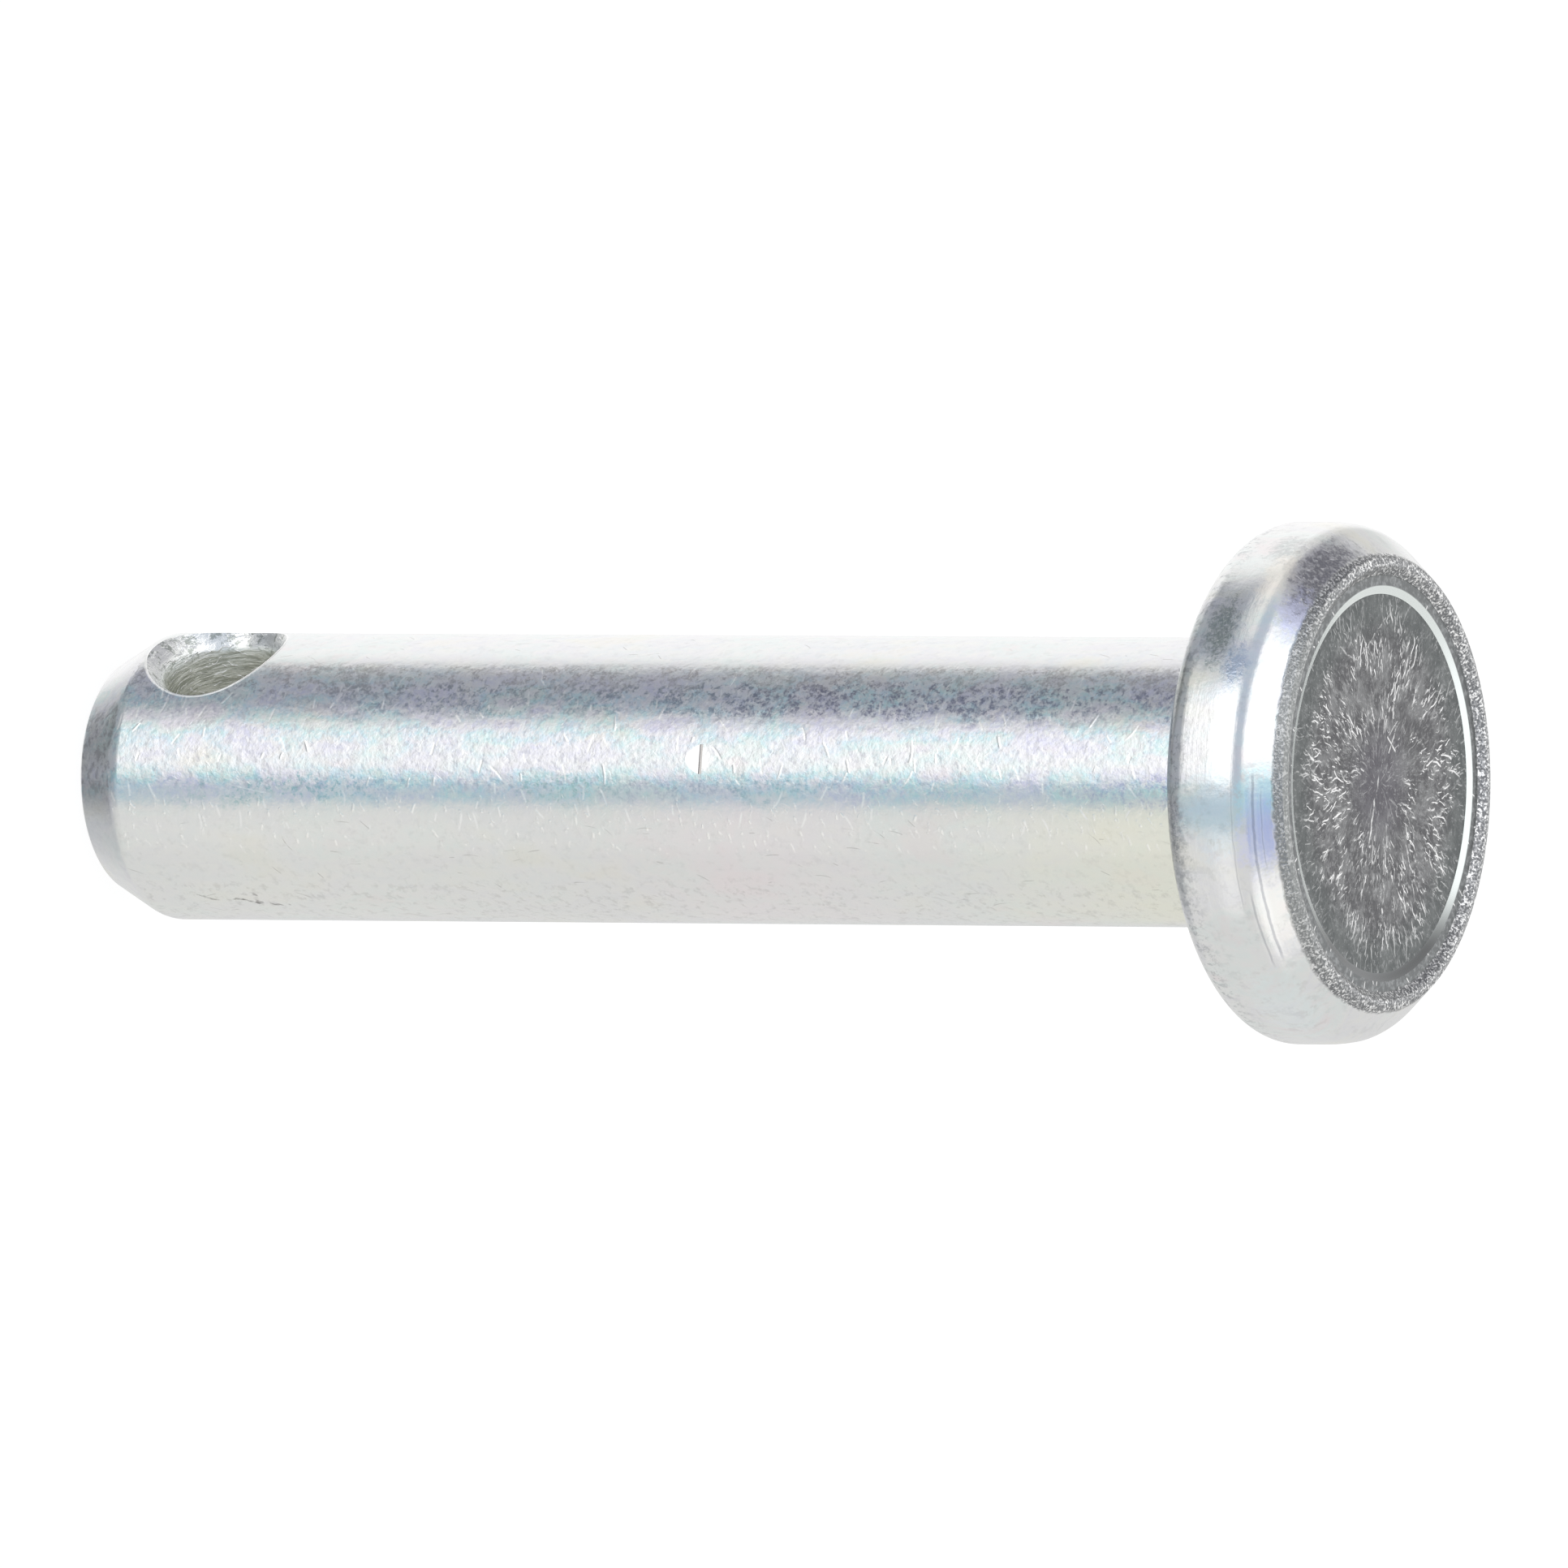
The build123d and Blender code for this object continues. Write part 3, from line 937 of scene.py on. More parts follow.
def face_finish(finish, sizes):
    """Coined field of the face: zinc whose dark ground is a painted dark reflection, with hairs, fibre
    streaks, specks and scratches painted pale or white as glints.
    """
    material, board, shader, place = new_finish("coined zinc", finish.face_gloss)
    floor = face_levels(sizes)[3] / MM
    wander = board.wander(place["Point"], 0.8, 1.3, detail=3.0)
    x, y, _ = board.split(board.vector("ADD", place["Point"], wander))
    astray = board.combine(x, y, 0.0)
    radius = board.vector("LENGTH", astray)
    outward = board.vector("SCALE", board.vector("NORMALIZE", astray), scale=6.0)
    streaks = board.vector("ADD", outward, board.combine(0.0, 0.0, board.times(radius, 0.55)))
    fibre_glints = board.ease(board.noise(streaks, 5.0, detail=3.0, roughness=0.65), 0.50, 0.68)
    inner = board.ease(radius, 1.2, 2.6, 0.2, 1.0)
    outer = board.ease(radius, 6.2, 5.1, 0.25, 1.0)
    zone = board.times(inner, outer)
    cloud = board.ease(board.noise(place["Point"], 0.9, detail=4.0, roughness=0.65), 0.42, 0.64)
    height = None
    bright = None
    for number, (spacing, length, width, share, curl, depth) in enumerate(FACE_HAIRS):
        seed = 5.3 * number
        layer = dash_layer(board, place, seed, spacing, length, width, share, 0.0, 0.45, curl, radial=True)
        raised = board.times(layer["Height"], depth)
        height = raised if height is None else board.plus(height, raised)
        bright = layer["Mask"] if bright is None else board.math("MAXIMUM", bright, layer["Mask"])
    thinned = board.ease(board.noise(place["Point"], 0.8, detail=3.0, roughness=0.6), 0.43, 0.55, 0.05, 1.0)
    bright = board.times(bright, zone, thinned)
    height = board.times(height, zone)
    specks = dash_layer(board, place, 17.0, 0.24, 0.15, 0.10, 0.22, spread=3.0)["Mask"]
    bright = board.math("MAXIMUM", bright, specks)
    for start, end, width, wave, share in FACE_SCRATCHES:
        scratch = scratched(board, place, (*start, floor), (*end, floor), width, wave=wave, gaps=0.3)
        scratch = board.times(scratch, share)
        height = board.times_plus(scratch, 12.0, height)
        bright = board.math("MAXIMUM", bright, scratch)
    fine = board.swing(place["Point"], 7.0, detail=3.0, roughness=0.65)
    height = board.times_plus(fine, 14.0, height)
    middle = board.ease(place["Radius"], 2.8, 0.8)
    edge = board.ease(place["Radius"], 4.6, 6.0)
    # The dark ground stands in for a dark reflection, painted into the colour
    colour = board.blend(cloud, (0.075, 0.075, 0.080), (0.17, 0.172, 0.176))
    colour = board.stain(colour, (0.085, 0.078, 0.10), middle, 0.5)
    colour = board.stain(colour, (0.078, 0.092, 0.090), edge, 0.6)
    blotches = board.ease(fine, 0.04, 0.22)
    colour = board.stain(colour, (0.34, 0.34, 0.35), blotches, 0.5)
    # Pale fibre streaks are painted as glints
    fibre_glints = board.times(fibre_glints, zone, board.times_plus(thinned, 0.6, 0.4))
    colour = board.stain(colour, (0.80, 0.81, 0.81), fibre_glints, 0.34)
    # Hairs, specks and scratches are painted white as glints
    colour = board.stain(colour, WHITE, bright)
    board.feed(shader.inputs["Roughness"], board.times_plus(bright, 0.10, finish.face_gloss))
    coat(board, shader, colour, height, 0.001)
    return material


def rim_finish():
    """Grainy rim of the face: crushed grain over a dull ground, with glints painted on its grain."""
    material, board, shader, place = new_finish("rim zinc", 0.28)
    colour, height = struck_grain(board, place)
    coat(board, shader, colour, height, 0.028)
    return material


def ring_finish(sizes):
    """Flat ring round the coined field, dull with fine turned lines and flecks painted white as glints, and
    the wall inside it, painted light on one side and dark on the other as its light and shade.
    """
    material, board, shader, place = new_finish("ring zinc", 0.24)
    wall_radius = face_levels(sizes)[1] / MM
    wall = board.ease(place["Radius"], wall_radius + 0.02, wall_radius - 0.03)
    lines = board.noise(board.combine(place["Radius"], 0.0, 0.0), 12.0, detail=2.0)
    mottle = board.ease(board.noise(place["Point"], 4.0, detail=4.0, roughness=0.7), 0.44, 0.66)
    ground = board.blend(mottle, (0.13, 0.137, 0.14), (0.25, 0.26, 0.265))
    flecks = dash_layer(board, place, 2.0, 0.45, 0.34, 0.09, 0.22, spread=0.5, radial=True)["Mask"]
    # Flecks painted white as glints
    ground = board.stain(ground, WHITE, flecks)
    # The wall is painted light on one side and dark on the other, as its light and shade
    _, side, _ = board.split(place["Point"])
    pale = board.blend(board.ease(side, 3.2, 5.8), (0.90, 0.95, 0.94), (0.17, 0.175, 0.18))
    colour = board.blend(wall, ground, pale)
    relief = board.times_plus(flecks, 8.0, board.times(lines, 4.0))
    coat(board, shader, colour, board.times(relief, board.minus(1.0, wall)), 0.001)
    return material


def bevel_finish(finish):
    """Bevel at the tip: smooth zinc, pitted and mottled on the side of the camera, where white specks are
    painted as glints.
    """
    material, board, shader, place = new_finish("bevel zinc", 0.20)
    mottle = board.noise(place["Point"], 3.2, detail=4.0, roughness=0.7)
    front_band = board.ease(board.away(place["Turn"], 12.0), 26.0, 14.0, 0.12, 1.0)
    pits = board.times(board.ease(mottle, 0.52, 0.40), front_band)
    # White specks on the side of the camera are painted glints
    specks = board.times(board.ease(mottle, 0.56, 0.66), front_band)
    colour = board.stain(tinted(board, place, finish, 0.6), (0.46, 0.46, 0.48), pits, 0.65)
    colour = board.stain(colour, WHITE, specks, 0.7)
    coat(board, shader, colour, mottle, 0.010)
    return material


def tip_finish(finish):
    """Flat end of the tip: cropped zinc with a coarse grain and a few drag lines."""
    material, board, shader, place = new_finish("tip zinc", 0.30)
    x, y, z = board.split(place["Point"])
    drag = board.noise(board.combine(x, board.times(y, 7.0), z), 1.2, detail=3.0)
    pits = board.ease(board.noise(place["Point"], 3.0, detail=4.0, roughness=0.7), 0.46, 0.34)
    colour = board.stain(tinted(board, place, finish, 0.4), (0.45, 0.45, 0.47), pits, 0.5)
    coat(board, shader, colour, board.times_plus(pits, -0.3, drag), 0.03)
    return material


def hole_finish(finish):
    """Cross hole: bright broken mouths with darker mottle painted between their reflected patches, and a
    wall brushed round its own axis, dull and a little olive, with strokes painted white as glints.
    """
    material, board, shader = new_metal("hole zinc", finish.hole_gloss)
    centred = hole_place(board)
    x, y, z = board.split(centred)
    round_the_axis = board.combine(board.times(x, 6.0), board.times(y, 0.8), board.times(z, 0.8))
    brushed = board.noise(round_the_axis, 1.6, detail=3.0, roughness=0.6, distortion=0.6)
    mottle = board.noise(centred, 2.6, detail=4.0, roughness=0.7)
    inside = board.ease(board.math("ABSOLUTE", x), 4.15, 3.75)
    olive = board.blend(board.ease(brushed, 0.40, 0.62), (0.58, 0.59, 0.53), (0.98, 0.98, 0.93))
    # Darker mottle on the mouths is painted between their reflected patches
    broken = board.blend(board.ease(mottle, 0.49, 0.37), (0.97, 0.98, 0.97), (0.48, 0.51, 0.48))
    colour = board.blend(inside, broken, olive)
    strokes = board.group(
        "struck dashes",
        {
            "Point": centred, "Along": (0.0, 0.7, 0.7), "Across": (1.0, 0.0, 0.0), "Spacing": 0.42,
            "Length": 0.75, "Width": 0.06, "Spread": 0.7, "Share": 0.6, "Curl": 0.4,
        },
    )["Mask"]
    # Strokes painted white as glints
    colour = board.stain(colour, WHITE, strokes, 0.8)
    gloss = board.times_plus(inside, 0.16, finish.hole_gloss)
    board.feed(shader.inputs["Roughness"], board.times_plus(strokes, 0.25, gloss))
    relief = board.times_plus(mottle, 30.0, board.times(brushed, 22.0))
    coat(board, shader, colour, board.times_plus(strokes, 14.0, relief), 0.001)
    return material


def nick_finish(sizes):
    """Struck mark: a pressed slope whose near-white colour adds a painted highlight, with painted shade in
    the groove at its end.
    """
    material, board, shader, place = new_finish("nick zinc", 0.16)
    step = sizes.nick_height / MM
    # Painted shade in the groove at the end of the slope
    groove = board.ease(place["Height"], step - 0.04, step)
    smear = board.noise(place["Point"], 5.0, detail=3.0)
    # The slope's near-white colour adds a painted highlight
    bright = board.blend(smear, (0.92, 0.93, 0.94), WHITE)
    colour = board.stain(bright, (0.50, 0.47, 0.45), groove, 0.8)
    coat(board, shader, colour, smear, 0.002)
    return material


# The body

SURFACES = ("shank", "head", "rim", "ring", "face", "bevel", "tip", "hole", "nick")


def outline_corners(sizes):
    """Corners of the half section from the tip to the face: radius, height, round and row length."""
    rim_start, ring_start, ring_height, field_height = face_levels(sizes)
    edge_round, crest_round, foot_round, wall_round, field_round = (
        value * MM for value in (0.12, 0.20, 0.08, 0.10, 0.15)
    )
    tip_row, bevel_row, shank_row, under_row, side_row, fine_row, field_row = (
        value * MM for value in (1.4, 0.25, 1.6, 1.0, 0.2, 0.1, 0.13)
    )
    return [
        (0.0, 0.0, 0.0, tip_row),
        (SHANK_RADIUS - sizes.bevel_depth, 0.0, sizes.bevel_round, bevel_row),
        (SHANK_RADIUS, sizes.bevel_length, sizes.bevel_shoulder, shank_row),
        (SHANK_RADIUS, UNDERSIDE, sizes.neck_fillet, under_row),
        (HEAD_RADIUS, UNDERSIDE, sizes.under_round, side_row),
        (HEAD_RADIUS, UNDERSIDE + sizes.belly_height, sizes.belly_round, side_row),
        (sizes.shoulder_radius, UNDERSIDE + sizes.shoulder_height, sizes.shoulder_round, fine_row),
        (sizes.face_radius, PIN_TOP - sizes.rim_drop, edge_round, fine_row),
        (sizes.face_radius - sizes.rim_crest, PIN_TOP, crest_round, fine_row),
        (rim_start, ring_height, foot_round, fine_row),
        (ring_start, ring_height, wall_round, fine_row),
        (ring_start - sizes.field_wall, field_height, field_round, field_row),
        (0.0, field_height, 0.0, 0.0),
    ]


def turn_body(sizes):
    """Draws the half section, rounds its corners and spins it about the axis."""
    shape = bmesh.new()
    corners = outline_corners(sizes)
    points = [shape.verts.new((radius, 0.0, height)) for radius, height, _, _ in corners]
    for pair in zip(points, points[1:]):
        shape.edges.new(pair)
    places = [point.co.copy() for point in points]
    for number in range(1, len(corners) - 1):
        before = places[number] - places[number - 1]
        after = places[number + 1] - places[number]
        bend = before.angle(after)
        bmesh.ops.bevel(
            shape,
            geom=[points[number]],
            offset=corners[number][2] * math.tan(bend / 2),
            offset_type="OFFSET",
            segments=max(3, round(math.degrees(bend) / 6)),
            profile=0.5,
            affect="VERTICES",
            material=-1,
        )
    same_way, on_line = 1e-4, 1e-7
    for start, end, (_, _, _, row) in zip(places, places[1:], corners):
        middle = (start + end) / 2
        direction = (end - start).normalized()
        for edge in list(shape.edges):
            first, second = edge.verts
            span = second.co - first.co
            if span.length <= row or span.normalized().cross(direction).length > same_way:
                continue
            away = (first.co + second.co) / 2 - middle
            if away.cross(direction).length > on_line or away.length > (end - start).length / 2:
                continue
            bmesh.ops.subdivide_edges(shape, edges=[edge], cuts=math.ceil(span.length / row) - 1)
    bmesh.ops.spin(
        shape,
        geom=shape.verts[:] + shape.edges[:],
        cent=(0.0, 0.0, 0.0),
        axis=(0.0, 0.0, 1.0),
        angle=math.tau,
        steps=sizes.turns,
        use_merge=True,
    )
    bmesh.ops.remove_doubles(shape, verts=shape.verts[:], dist=0.0005 * MM)
    bmesh.ops.recalc_face_normals(shape, faces=shape.faces[:])
    return shape


def hole_cutter(sizes):
    """A drill along X whose two mouths flare over the round of the shank."""
    drill = bmesh.new()
    bmesh.ops.create_cone(
        drill, cap_ends=True, segments=160, radius1=HOLE_RADIUS, radius2=HOLE_RADIUS, depth=SHANK_RADIUS
    )
    bmesh.ops.rotate(
        drill, verts=drill.verts[:], cent=(0, 0, 0), matrix=Matrix.Rotation(math.pi / 2, 3, "Y")
    )
    flare_steps, flare_curve = 6, 1.3
    for side in (-1.0, 1.0):
        cap = [face for face in drill.faces if len(face.verts) > 4 and face.normal.x * side > 0.5]
        for step in range(flare_steps + 2):
            share = min(step, flare_steps) / flare_steps
            if step > 0:
                cap = bmesh.ops.extrude_discrete_faces(drill, faces=cap)["faces"]
            for vert in cap[0].verts:
                spoke = math.atan2(vert.co.z, vert.co.y)
                flare = sizes.mouth_across + (sizes.mouth_along - sizes.mouth_across) * math.sin(spoke) ** 2
                radius = HOLE_RADIUS + flare * share**flare_curve
                beside = radius * math.cos(spoke)
                surface = math.sqrt(SHANK_RADIUS**2 - beside**2)
                lift = MM if step > flare_steps else 0.0
                outward = surface - sizes.mouth_depth * (1.0 - share) + lift
                vert.co = Vector((side * outward, beside, radius * math.sin(spoke)))
    bmesh.ops.translate(drill, verts=drill.verts[:], vec=(0.0, 0.0, HOLE_HEIGHT))
    bmesh.ops.recalc_face_normals(drill, faces=drill.faces[:])
    return drill


def nick_cutter(sizes):
    """A punch for the struck mark: a long shallow slope that ends in a narrow groove."""
    step = SHANK_RADIUS - sizes.nick_depth
    slope = sizes.nick_depth / sizes.nick_length
    start = sizes.nick_length * 1.5
    outside = SHANK_RADIUS + MM
    half = math.sqrt(SHANK_RADIUS**2 - step**2)
    section = (
        (outside, -start),
        (step + start * slope, -start),
        (step, 0.0),
        (step - sizes.nick_groove, 0.0),
        (step - sizes.nick_groove, sizes.nick_step),
        (outside, sizes.nick_step),
    )
    punch = bmesh.new()
    side = punch.faces.new([punch.verts.new((outward, -half, along)) for outward, along in section])
    grown = bmesh.ops.extrude_face_region(punch, geom=[side])["geom"]
    moved = [part for part in grown if isinstance(part, bmesh.types.BMVert)]
    bmesh.ops.translate(punch, verts=moved, vec=(0.0, 2 * half, 0.0))
    bmesh.ops.translate(punch, verts=punch.verts[:], vec=(0.0, 0.0, sizes.nick_height))
    bmesh.ops.rotate(
        punch, verts=punch.verts[:], cent=(0, 0, 0), matrix=Matrix.Rotation(sizes.nick_turn, 3, "Z")
    )
    bmesh.ops.recalc_face_normals(punch, faces=punch.faces[:])
    return punch


def as_object(shape, name):
    """Turns a bmesh into an object in the scene, at the origin."""
    mesh = bpy.data.meshes.new(name)
    shape.to_mesh(mesh)
    shape.free()
    made = bpy.data.objects.new(name, mesh)
    bpy.context.scene.collection.objects.link(made)
    return made


def cut(body, tool):
    """Cuts the tool's shape out of the body and removes the tool."""
    modifier = body.modifiers.new("cut", "BOOLEAN")
    modifier.operation = "DIFFERENCE"
    modifier.solver = "EXACT"
    modifier.material_mode = "TRANSFER"
    modifier.object = tool
    bpy.context.view_layer.update()
    graph = bpy.context.evaluated_depsgraph_get()
    result = bpy.data.meshes.new_from_object(body.evaluated_get(graph))
    if not result.polygons:
        raise RuntimeError(f"Nothing is left of {body.name} after the cut with {tool.name}")
    body.modifiers.remove(modifier)
    spare = body.data
    body.data = result
    bpy.data.meshes.remove(spare)
    bpy.data.objects.remove(tool)


def keep_borders_sharp(body, names):
    """Marks sharp every edge where a cut surface meets the turned body, and the corners of the cuts."""
    shape = bmesh.new()
    shape.from_mesh(body.data)
    cuts = [SURFACES.index(name) for name in names]
    corner = math.radians(30)
    for edge in shape.edges:
        marks = {face.material_index for face in edge.link_faces}
        if marks.intersection(cuts) and (len(marks) > 1 or edge.calc_face_angle(0.0) > corner):
            edge.smooth = False
    shape.to_mesh(body.data)
    shape.free()


def keep_shank_round(body):
    """Shades the shank as a true round beside the cuts, where long faces would show as stripes."""
    mesh = body.data
    close, flush = 0.002 * MM, 0.9995
    normals = []
    for polygon in mesh.polygons:
        for corner in polygon.loop_indices:
            place = mesh.vertices[mesh.loops[corner].vertex_index].co
            outward = Vector((place.x, place.y, 0.0)).normalized()
            beside = abs(math.hypot(place.x, place.y) - SHANK_RADIUS) < close
            normals.append(outward if beside and polygon.normal.dot(outward) > flush else Vector())
    mesh.normals_split_custom_set(normals)


def surface_of(middle, sizes):
    """Which finish a face of the turned body takes, from its middle."""
    radius = math.hypot(middle.x, middle.y)
    rim_start, ring_start, _, field_height = face_levels(sizes)
    if middle.z > PIN_TOP - 1.2 * sizes.rim_drop:
        return "rim"
    if middle.z > field_height - 0.01 * MM and radius < sizes.face_radius:
        if radius > rim_start:
            return "rim"
        return "ring" if radius > ring_start - sizes.field_wall else "face"
    if middle.z > UNDERSIDE - sizes.neck_fillet:
        return "head"
    if middle.z > sizes.bevel_length:
        return "shank"
    return "bevel" if middle.z > 1e-6 else "tip"


class PIN_OT_build_body(bpy.types.Operator):
    """Turns the pin in one piece, drills its cross hole and gives every surface its finish"""

    bl_idname = "pin.build_body"
    bl_label = "Pin body"

    def execute(self, context):
        sizes = context.scene.pin_sizes
        finish = context.scene.pin_finish
        for make in (
            make_turned_place, make_struck_dashes, make_scratch_line, make_scuff, make_etched_grain,
            make_struck_grain, make_arc_line, make_plating_tint,
        ):
            make()
        finishes = {
            "shank": shank_finish(finish, sizes), "head": head_finish(finish, sizes), "rim": rim_finish(),
            "ring": ring_finish(sizes), "face": face_finish(finish, sizes), "bevel": bevel_finish(finish),
            "tip": tip_finish(finish), "hole": hole_finish(finish), "nick": nick_finish(sizes),
        }
        shape = turn_body(sizes)
        for face in shape.faces:
            face.smooth = True
            face.material_index = SURFACES.index(surface_of(face.calc_center_median(), sizes))
        body = as_object(shape, "pin_body")
        for name in SURFACES:
            body.data.materials.append(finishes[name])
        for name, tool_shape in (("hole", hole_cutter(sizes)), ("nick", nick_cutter(sizes))):
            for face in tool_shape.faces:
                face.smooth = name == "hole"
            tool = as_object(tool_shape, name + "_tool")
            tool.data.materials.append(finishes[name])
            cut(body, tool)
        keep_borders_sharp(body, ("hole", "nick"))
        keep_shank_round(body)
        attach(body, "root")
        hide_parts("clevis_pin")
        return {"FINISHED"}


# The studio


def aim_camera(look):
    """Places the camera, turned on its side so that the standing pin lies across the frame."""
    level = math.cos(look.rise)
    back = Vector((math.sin(look.turn) * level, -math.cos(look.turn) * level, math.sin(look.rise)))
    upright = Vector((0.0, 0.0, 1.0))
    along = (upright - back * back.z).normalized()
    side = back.cross(along)
    right = along * math.cos(look.tilt) + side * math.sin(look.tilt)
    above = back.cross(right)
    aim = upright * look.aim_height + side * look.aim_side
    camera = bpy.data.objects.new("camera", bpy.data.cameras.new("camera"))
    camera.data.lens = look.lens
    camera.data.sensor_width = 36.0
    turned = Matrix((right, above, back)).transposed().to_4x4()
    camera.matrix_world = Matrix.Translation(aim + back * look.distance) @ turned
    bpy.context.scene.collection.objects.link(camera)
    bpy.context.scene.camera = camera


def lay_floor(look):
    """A wide pale floor that keeps a faint shadow, and through which the pin mirrors the studio."""
    shape = bmesh.new()
    bmesh.ops.create_grid(shape, x_segments=2, y_segments=2, size=look.floor_size / 2)
    floor = as_object(shape, "floor")
    floor.visible_glossy = False
    floor.visible_shadow = False
    material = bpy.data.materials.new("pale floor")
    material.use_nodes = True
    tree = material.node_tree
    tree.nodes.clear()
    board = Board(tree)
    # The studio gives back this share of the floor's tone, and the glow fills it up to just over white
    given_back, full = 0.85, 1.04
    white = full - given_back * look.floor_tone[0]
    glow = board.node("ShaderNodeEmission", {"Color": (white, white, white), "Strength": 1.0})
    matt = board.node("ShaderNodeBsdfDiffuse", {"Color": look.floor_tone[:]})
    lit = board.node("ShaderNodeAddShader")
    board.feed(lit.inputs[0], glow.outputs["Emission"])
    board.feed(lit.inputs[1], matt.outputs["BSDF"])
    clear = board.node("ShaderNodeBsdfTransparent")
    below = board.node("ShaderNodeNewGeometry").outputs["Backfacing"]
    sided = board.node("ShaderNodeMixShader", {0: below})
    board.feed(sided.inputs[1], lit.outputs["Shader"])
    board.feed(sided.inputs[2], clear.outputs["BSDF"])
    output = board.node("ShaderNodeOutputMaterial")
    board.feed(output.inputs["Surface"], sided.outputs["Shader"])
    floor.data.materials.append(material)


PATCHES = (
    # colour, turn from and to, rise from and to, softness; in degrees, with a turn of 0 at the camera
    ((0.56, 0.57, 0.58), (-180.0, 180.0), (-140.0, -56.0), 12.0),
    ((0.27, 0.28, 0.29), (-180.0, 180.0), (-140.0, -76.0), 8.0),
    ((0.38, 0.40, 0.43), (-26.0, 104.0), (-140.0, -37.0), 6.0),
    ((0.25, 0.26, 0.27), (60.0, 121.0), (-140.0, -62.0), 3.0),
    ((1.07, 1.065, 1.06), (106.0, 176.0), (-50.0, -12.0), 8.0),
    ((0.35, 0.37, 0.41), (55.0, 98.0), (-38.0, -20.0), 5.0),
    ((0.95, 0.95, 0.94), (-58.0, -22.0), (-24.0, -9.0), 4.0),
    ((0.90, 0.89, 0.88), (60.0, 100.0), (-17.0, 2.0), 5.0),
    ((0.52, 0.56, 0.64), (42.0, 62.0), (-22.0, 10.0), 5.0),
    ((0.55, 0.60, 0.68), (-6.0, 88.0), (6.0, 36.0), 5.0),
    ((0.42, 0.42, 0.45), (96.0, 140.0), (6.0, 40.0), 7.0),
    ((1.50, 1.50, 1.50), (0.0, 42.0), (-28.0, 5.0), 5.0),
    ((0.52, 0.61, 0.66), (-20.0, -3.0), (-46.0, 46.0), 3.0),
    ((1.05, 1.05, 1.04), (-100.0, -52.0), (36.0, 60.0), 6.0),
    ((0.42, 0.50, 0.68), (-46.0, -4.0), (50.0, 66.0), 5.0),
    ((1.40, 1.41, 1.44), (8.0, 88.0), (38.0, 66.0), 6.0),
    ((1.30, 1.30, 1.30), (163.0, 189.0), (12.0, 46.0), 5.0),
    ((1.12, 1.13, 1.13), (120.0, 240.0), (50.0, 80.0), 4.0),
    ((1.15, 1.15, 1.15), (-180.0, 180.0), (67.0, 110.0), 5.0),
)


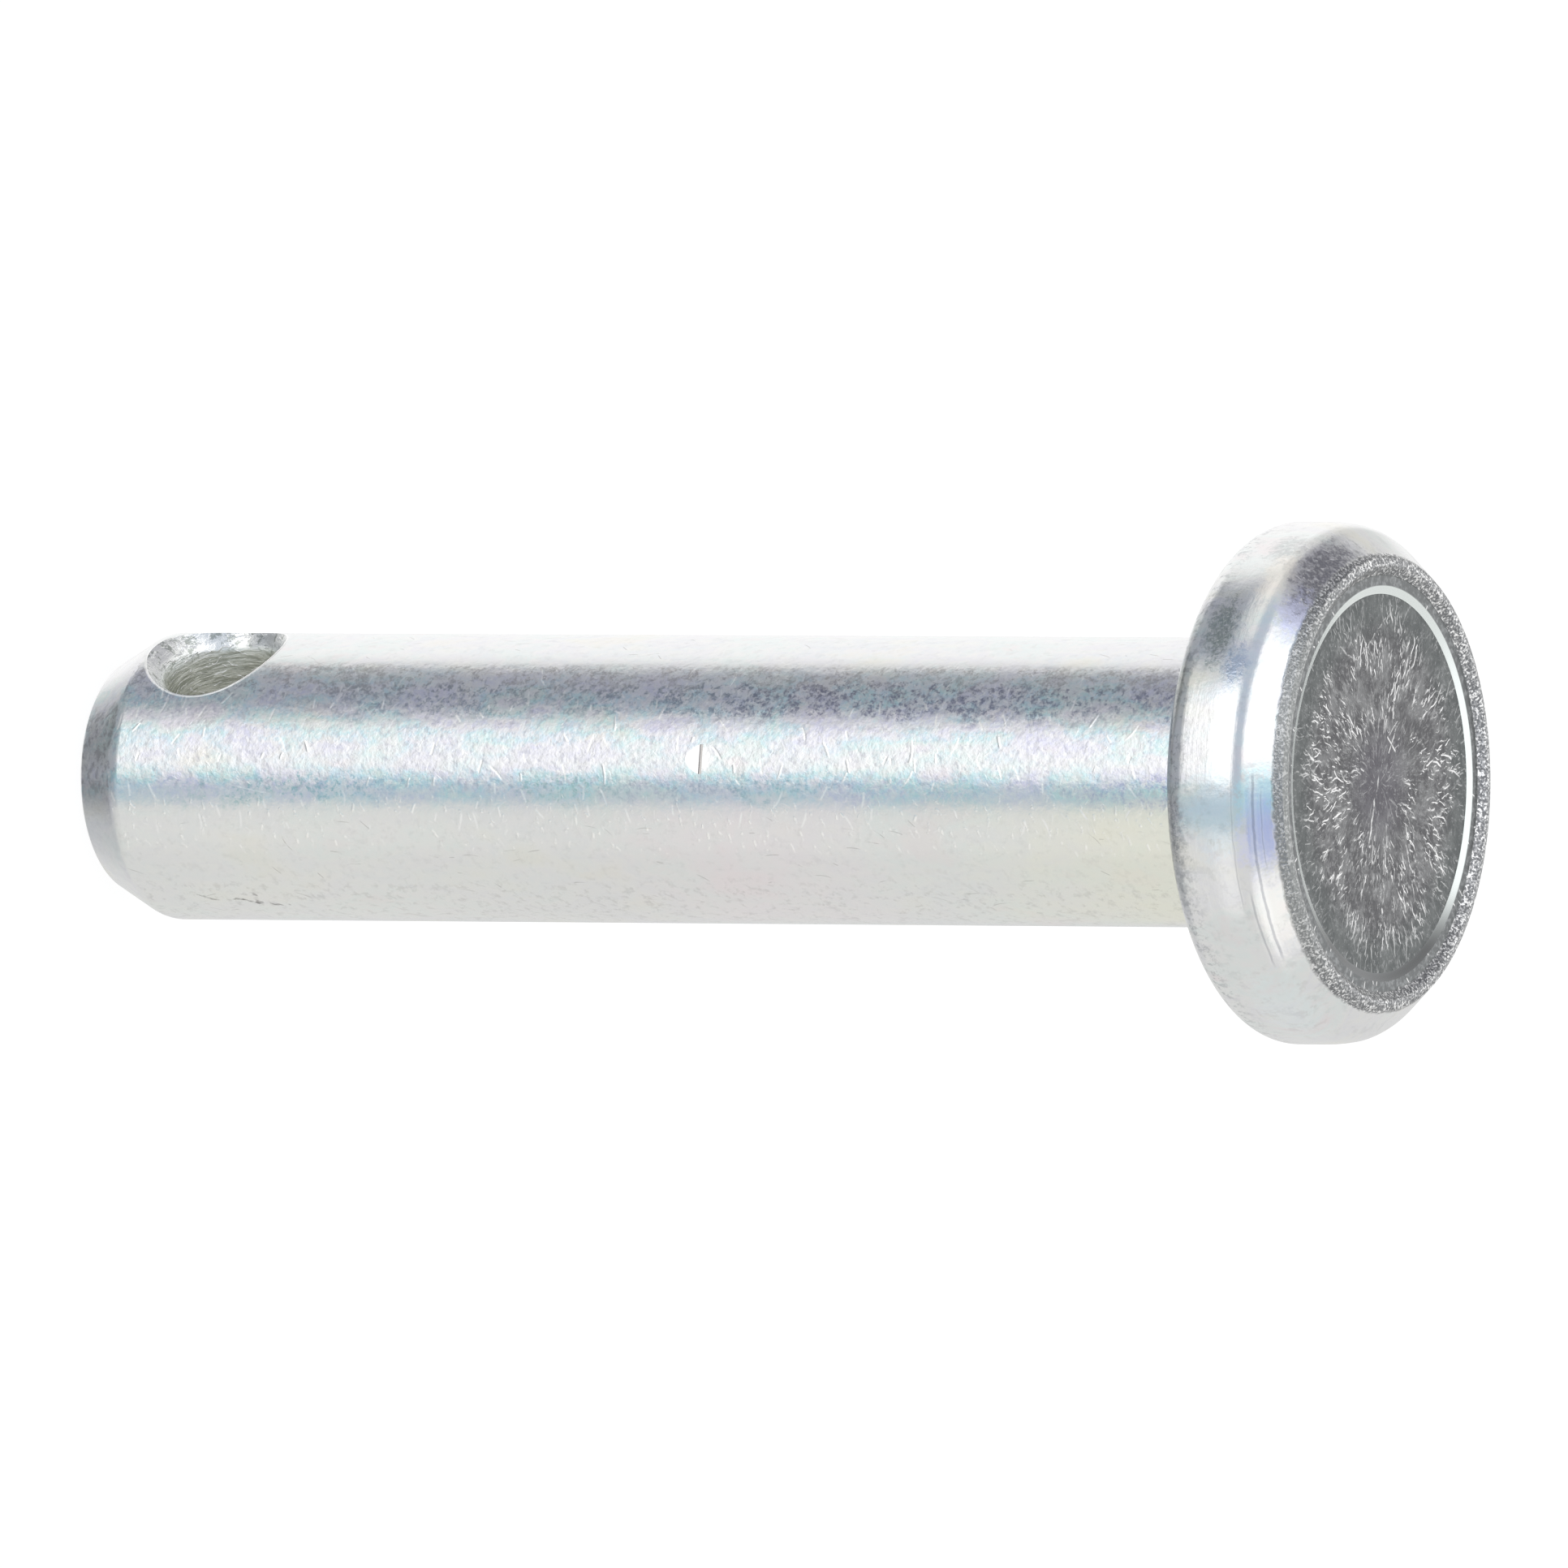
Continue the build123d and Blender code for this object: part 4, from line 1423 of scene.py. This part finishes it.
def light_studio(look):
    """Lights the pin from pale walls with soft boxes and cards, all in the world."""
    make_soft_patch()
    world = bpy.data.worlds.new("studio")
    world.use_nodes = True
    bpy.context.scene.world = world
    tree = world.node_tree
    tree.nodes.clear()
    board = Board(tree)
    direction = board.node("ShaderNodeTexCoord").outputs["Generated"]
    front = (math.sin(look.turn), -math.cos(look.turn), 0.0)
    above = (-math.cos(look.turn), -math.sin(look.turn), 0.0)
    forward = board.vector("DOT_PRODUCT", direction, front)
    upward = board.vector("DOT_PRODUCT", direction, above)
    turn = board.math("DEGREES", board.math("ARCTAN2", upward, forward))
    _, _, height = board.split(direction)
    rise = board.math("DEGREES", board.math("ARCSINE", height))
    colour = look.surround[:]
    for patch, (turn_from, turn_to), (rise_from, rise_to), softness in PATCHES:
        colour = board.group(
            "soft light patch",
            {
                "Colour": colour, "Turn": turn, "Rise": rise, "Patch": patch, "Turn from": turn_from,
                "Turn to": turn_to, "Rise from": rise_from, "Rise to": rise_to, "Softness": softness,
            },
        )["Colour"]
    studio = board.node("ShaderNodeBackground", {"Color": colour, "Strength": 1.0})
    white = board.node("ShaderNodeBackground", {"Color": WHITE, "Strength": 1.0})
    seen = board.node("ShaderNodeLightPath").outputs["Is Camera Ray"]
    both = board.node("ShaderNodeMixShader", {0: seen})
    board.feed(both.inputs[1], studio.outputs["Background"])
    board.feed(both.inputs[2], white.outputs["Background"])
    output = board.node("ShaderNodeOutputWorld")
    board.feed(output.inputs["Surface"], both.outputs["Shader"])


class PIN_OT_build_studio(bpy.types.Operator):
    """Sets up the camera, the pale floor and the soft light"""

    bl_idname = "pin.build_studio"
    bl_label = "Studio"

    def execute(self, context):
        look = context.scene.studio_look
        aim_camera(look)
        lay_floor(look)
        light_studio(look)
        context.scene.view_settings.view_transform = "Standard"
        context.scene.cycles.glossy_bounces = look.mirror_depth
        return {"FINISHED"}


class PIN_PT_sidebar(bpy.types.Panel):
    """Builds the pin and its studio, and shows their settings"""

    bl_label = "Clevis Pin"
    bl_idname = "PIN_PT_sidebar"
    bl_space_type = "VIEW_3D"
    bl_region_type = "UI"
    bl_category = "Clevis Pin"

    def draw(self, context):
        layout = self.layout
        for settings, operator in (
            (context.scene.pin_sizes, None),
            (context.scene.pin_finish, PIN_OT_build_body),
            (context.scene.studio_look, PIN_OT_build_studio),
        ):
            box = layout.box()
            for name in settings.__annotations__:
                box.prop(settings, name)
            if operator is not None:
                box.operator(operator.bl_idname)


CLASSES = (PinSizes, PinFinish, StudioLook, PIN_OT_build_body, PIN_OT_build_studio, PIN_PT_sidebar)


def register():
    """Registers the classes and hangs their settings on the scene."""
    for kind in CLASSES:
        bpy.utils.register_class(kind)
    bpy.types.Scene.pin_sizes = bpy.props.PointerProperty(type=PinSizes)
    bpy.types.Scene.pin_finish = bpy.props.PointerProperty(type=PinFinish)
    bpy.types.Scene.studio_look = bpy.props.PointerProperty(type=StudioLook)


def unregister():
    """Takes the settings and the classes away again."""
    del bpy.types.Scene.studio_look
    del bpy.types.Scene.pin_finish
    del bpy.types.Scene.pin_sizes
    for kind in reversed(CLASSES):
        bpy.utils.unregister_class(kind)


def main():
    register()
    bpy.ops.pin.build_studio()
    bpy.ops.pin.build_body()


if __name__ == "__main__":
    main()
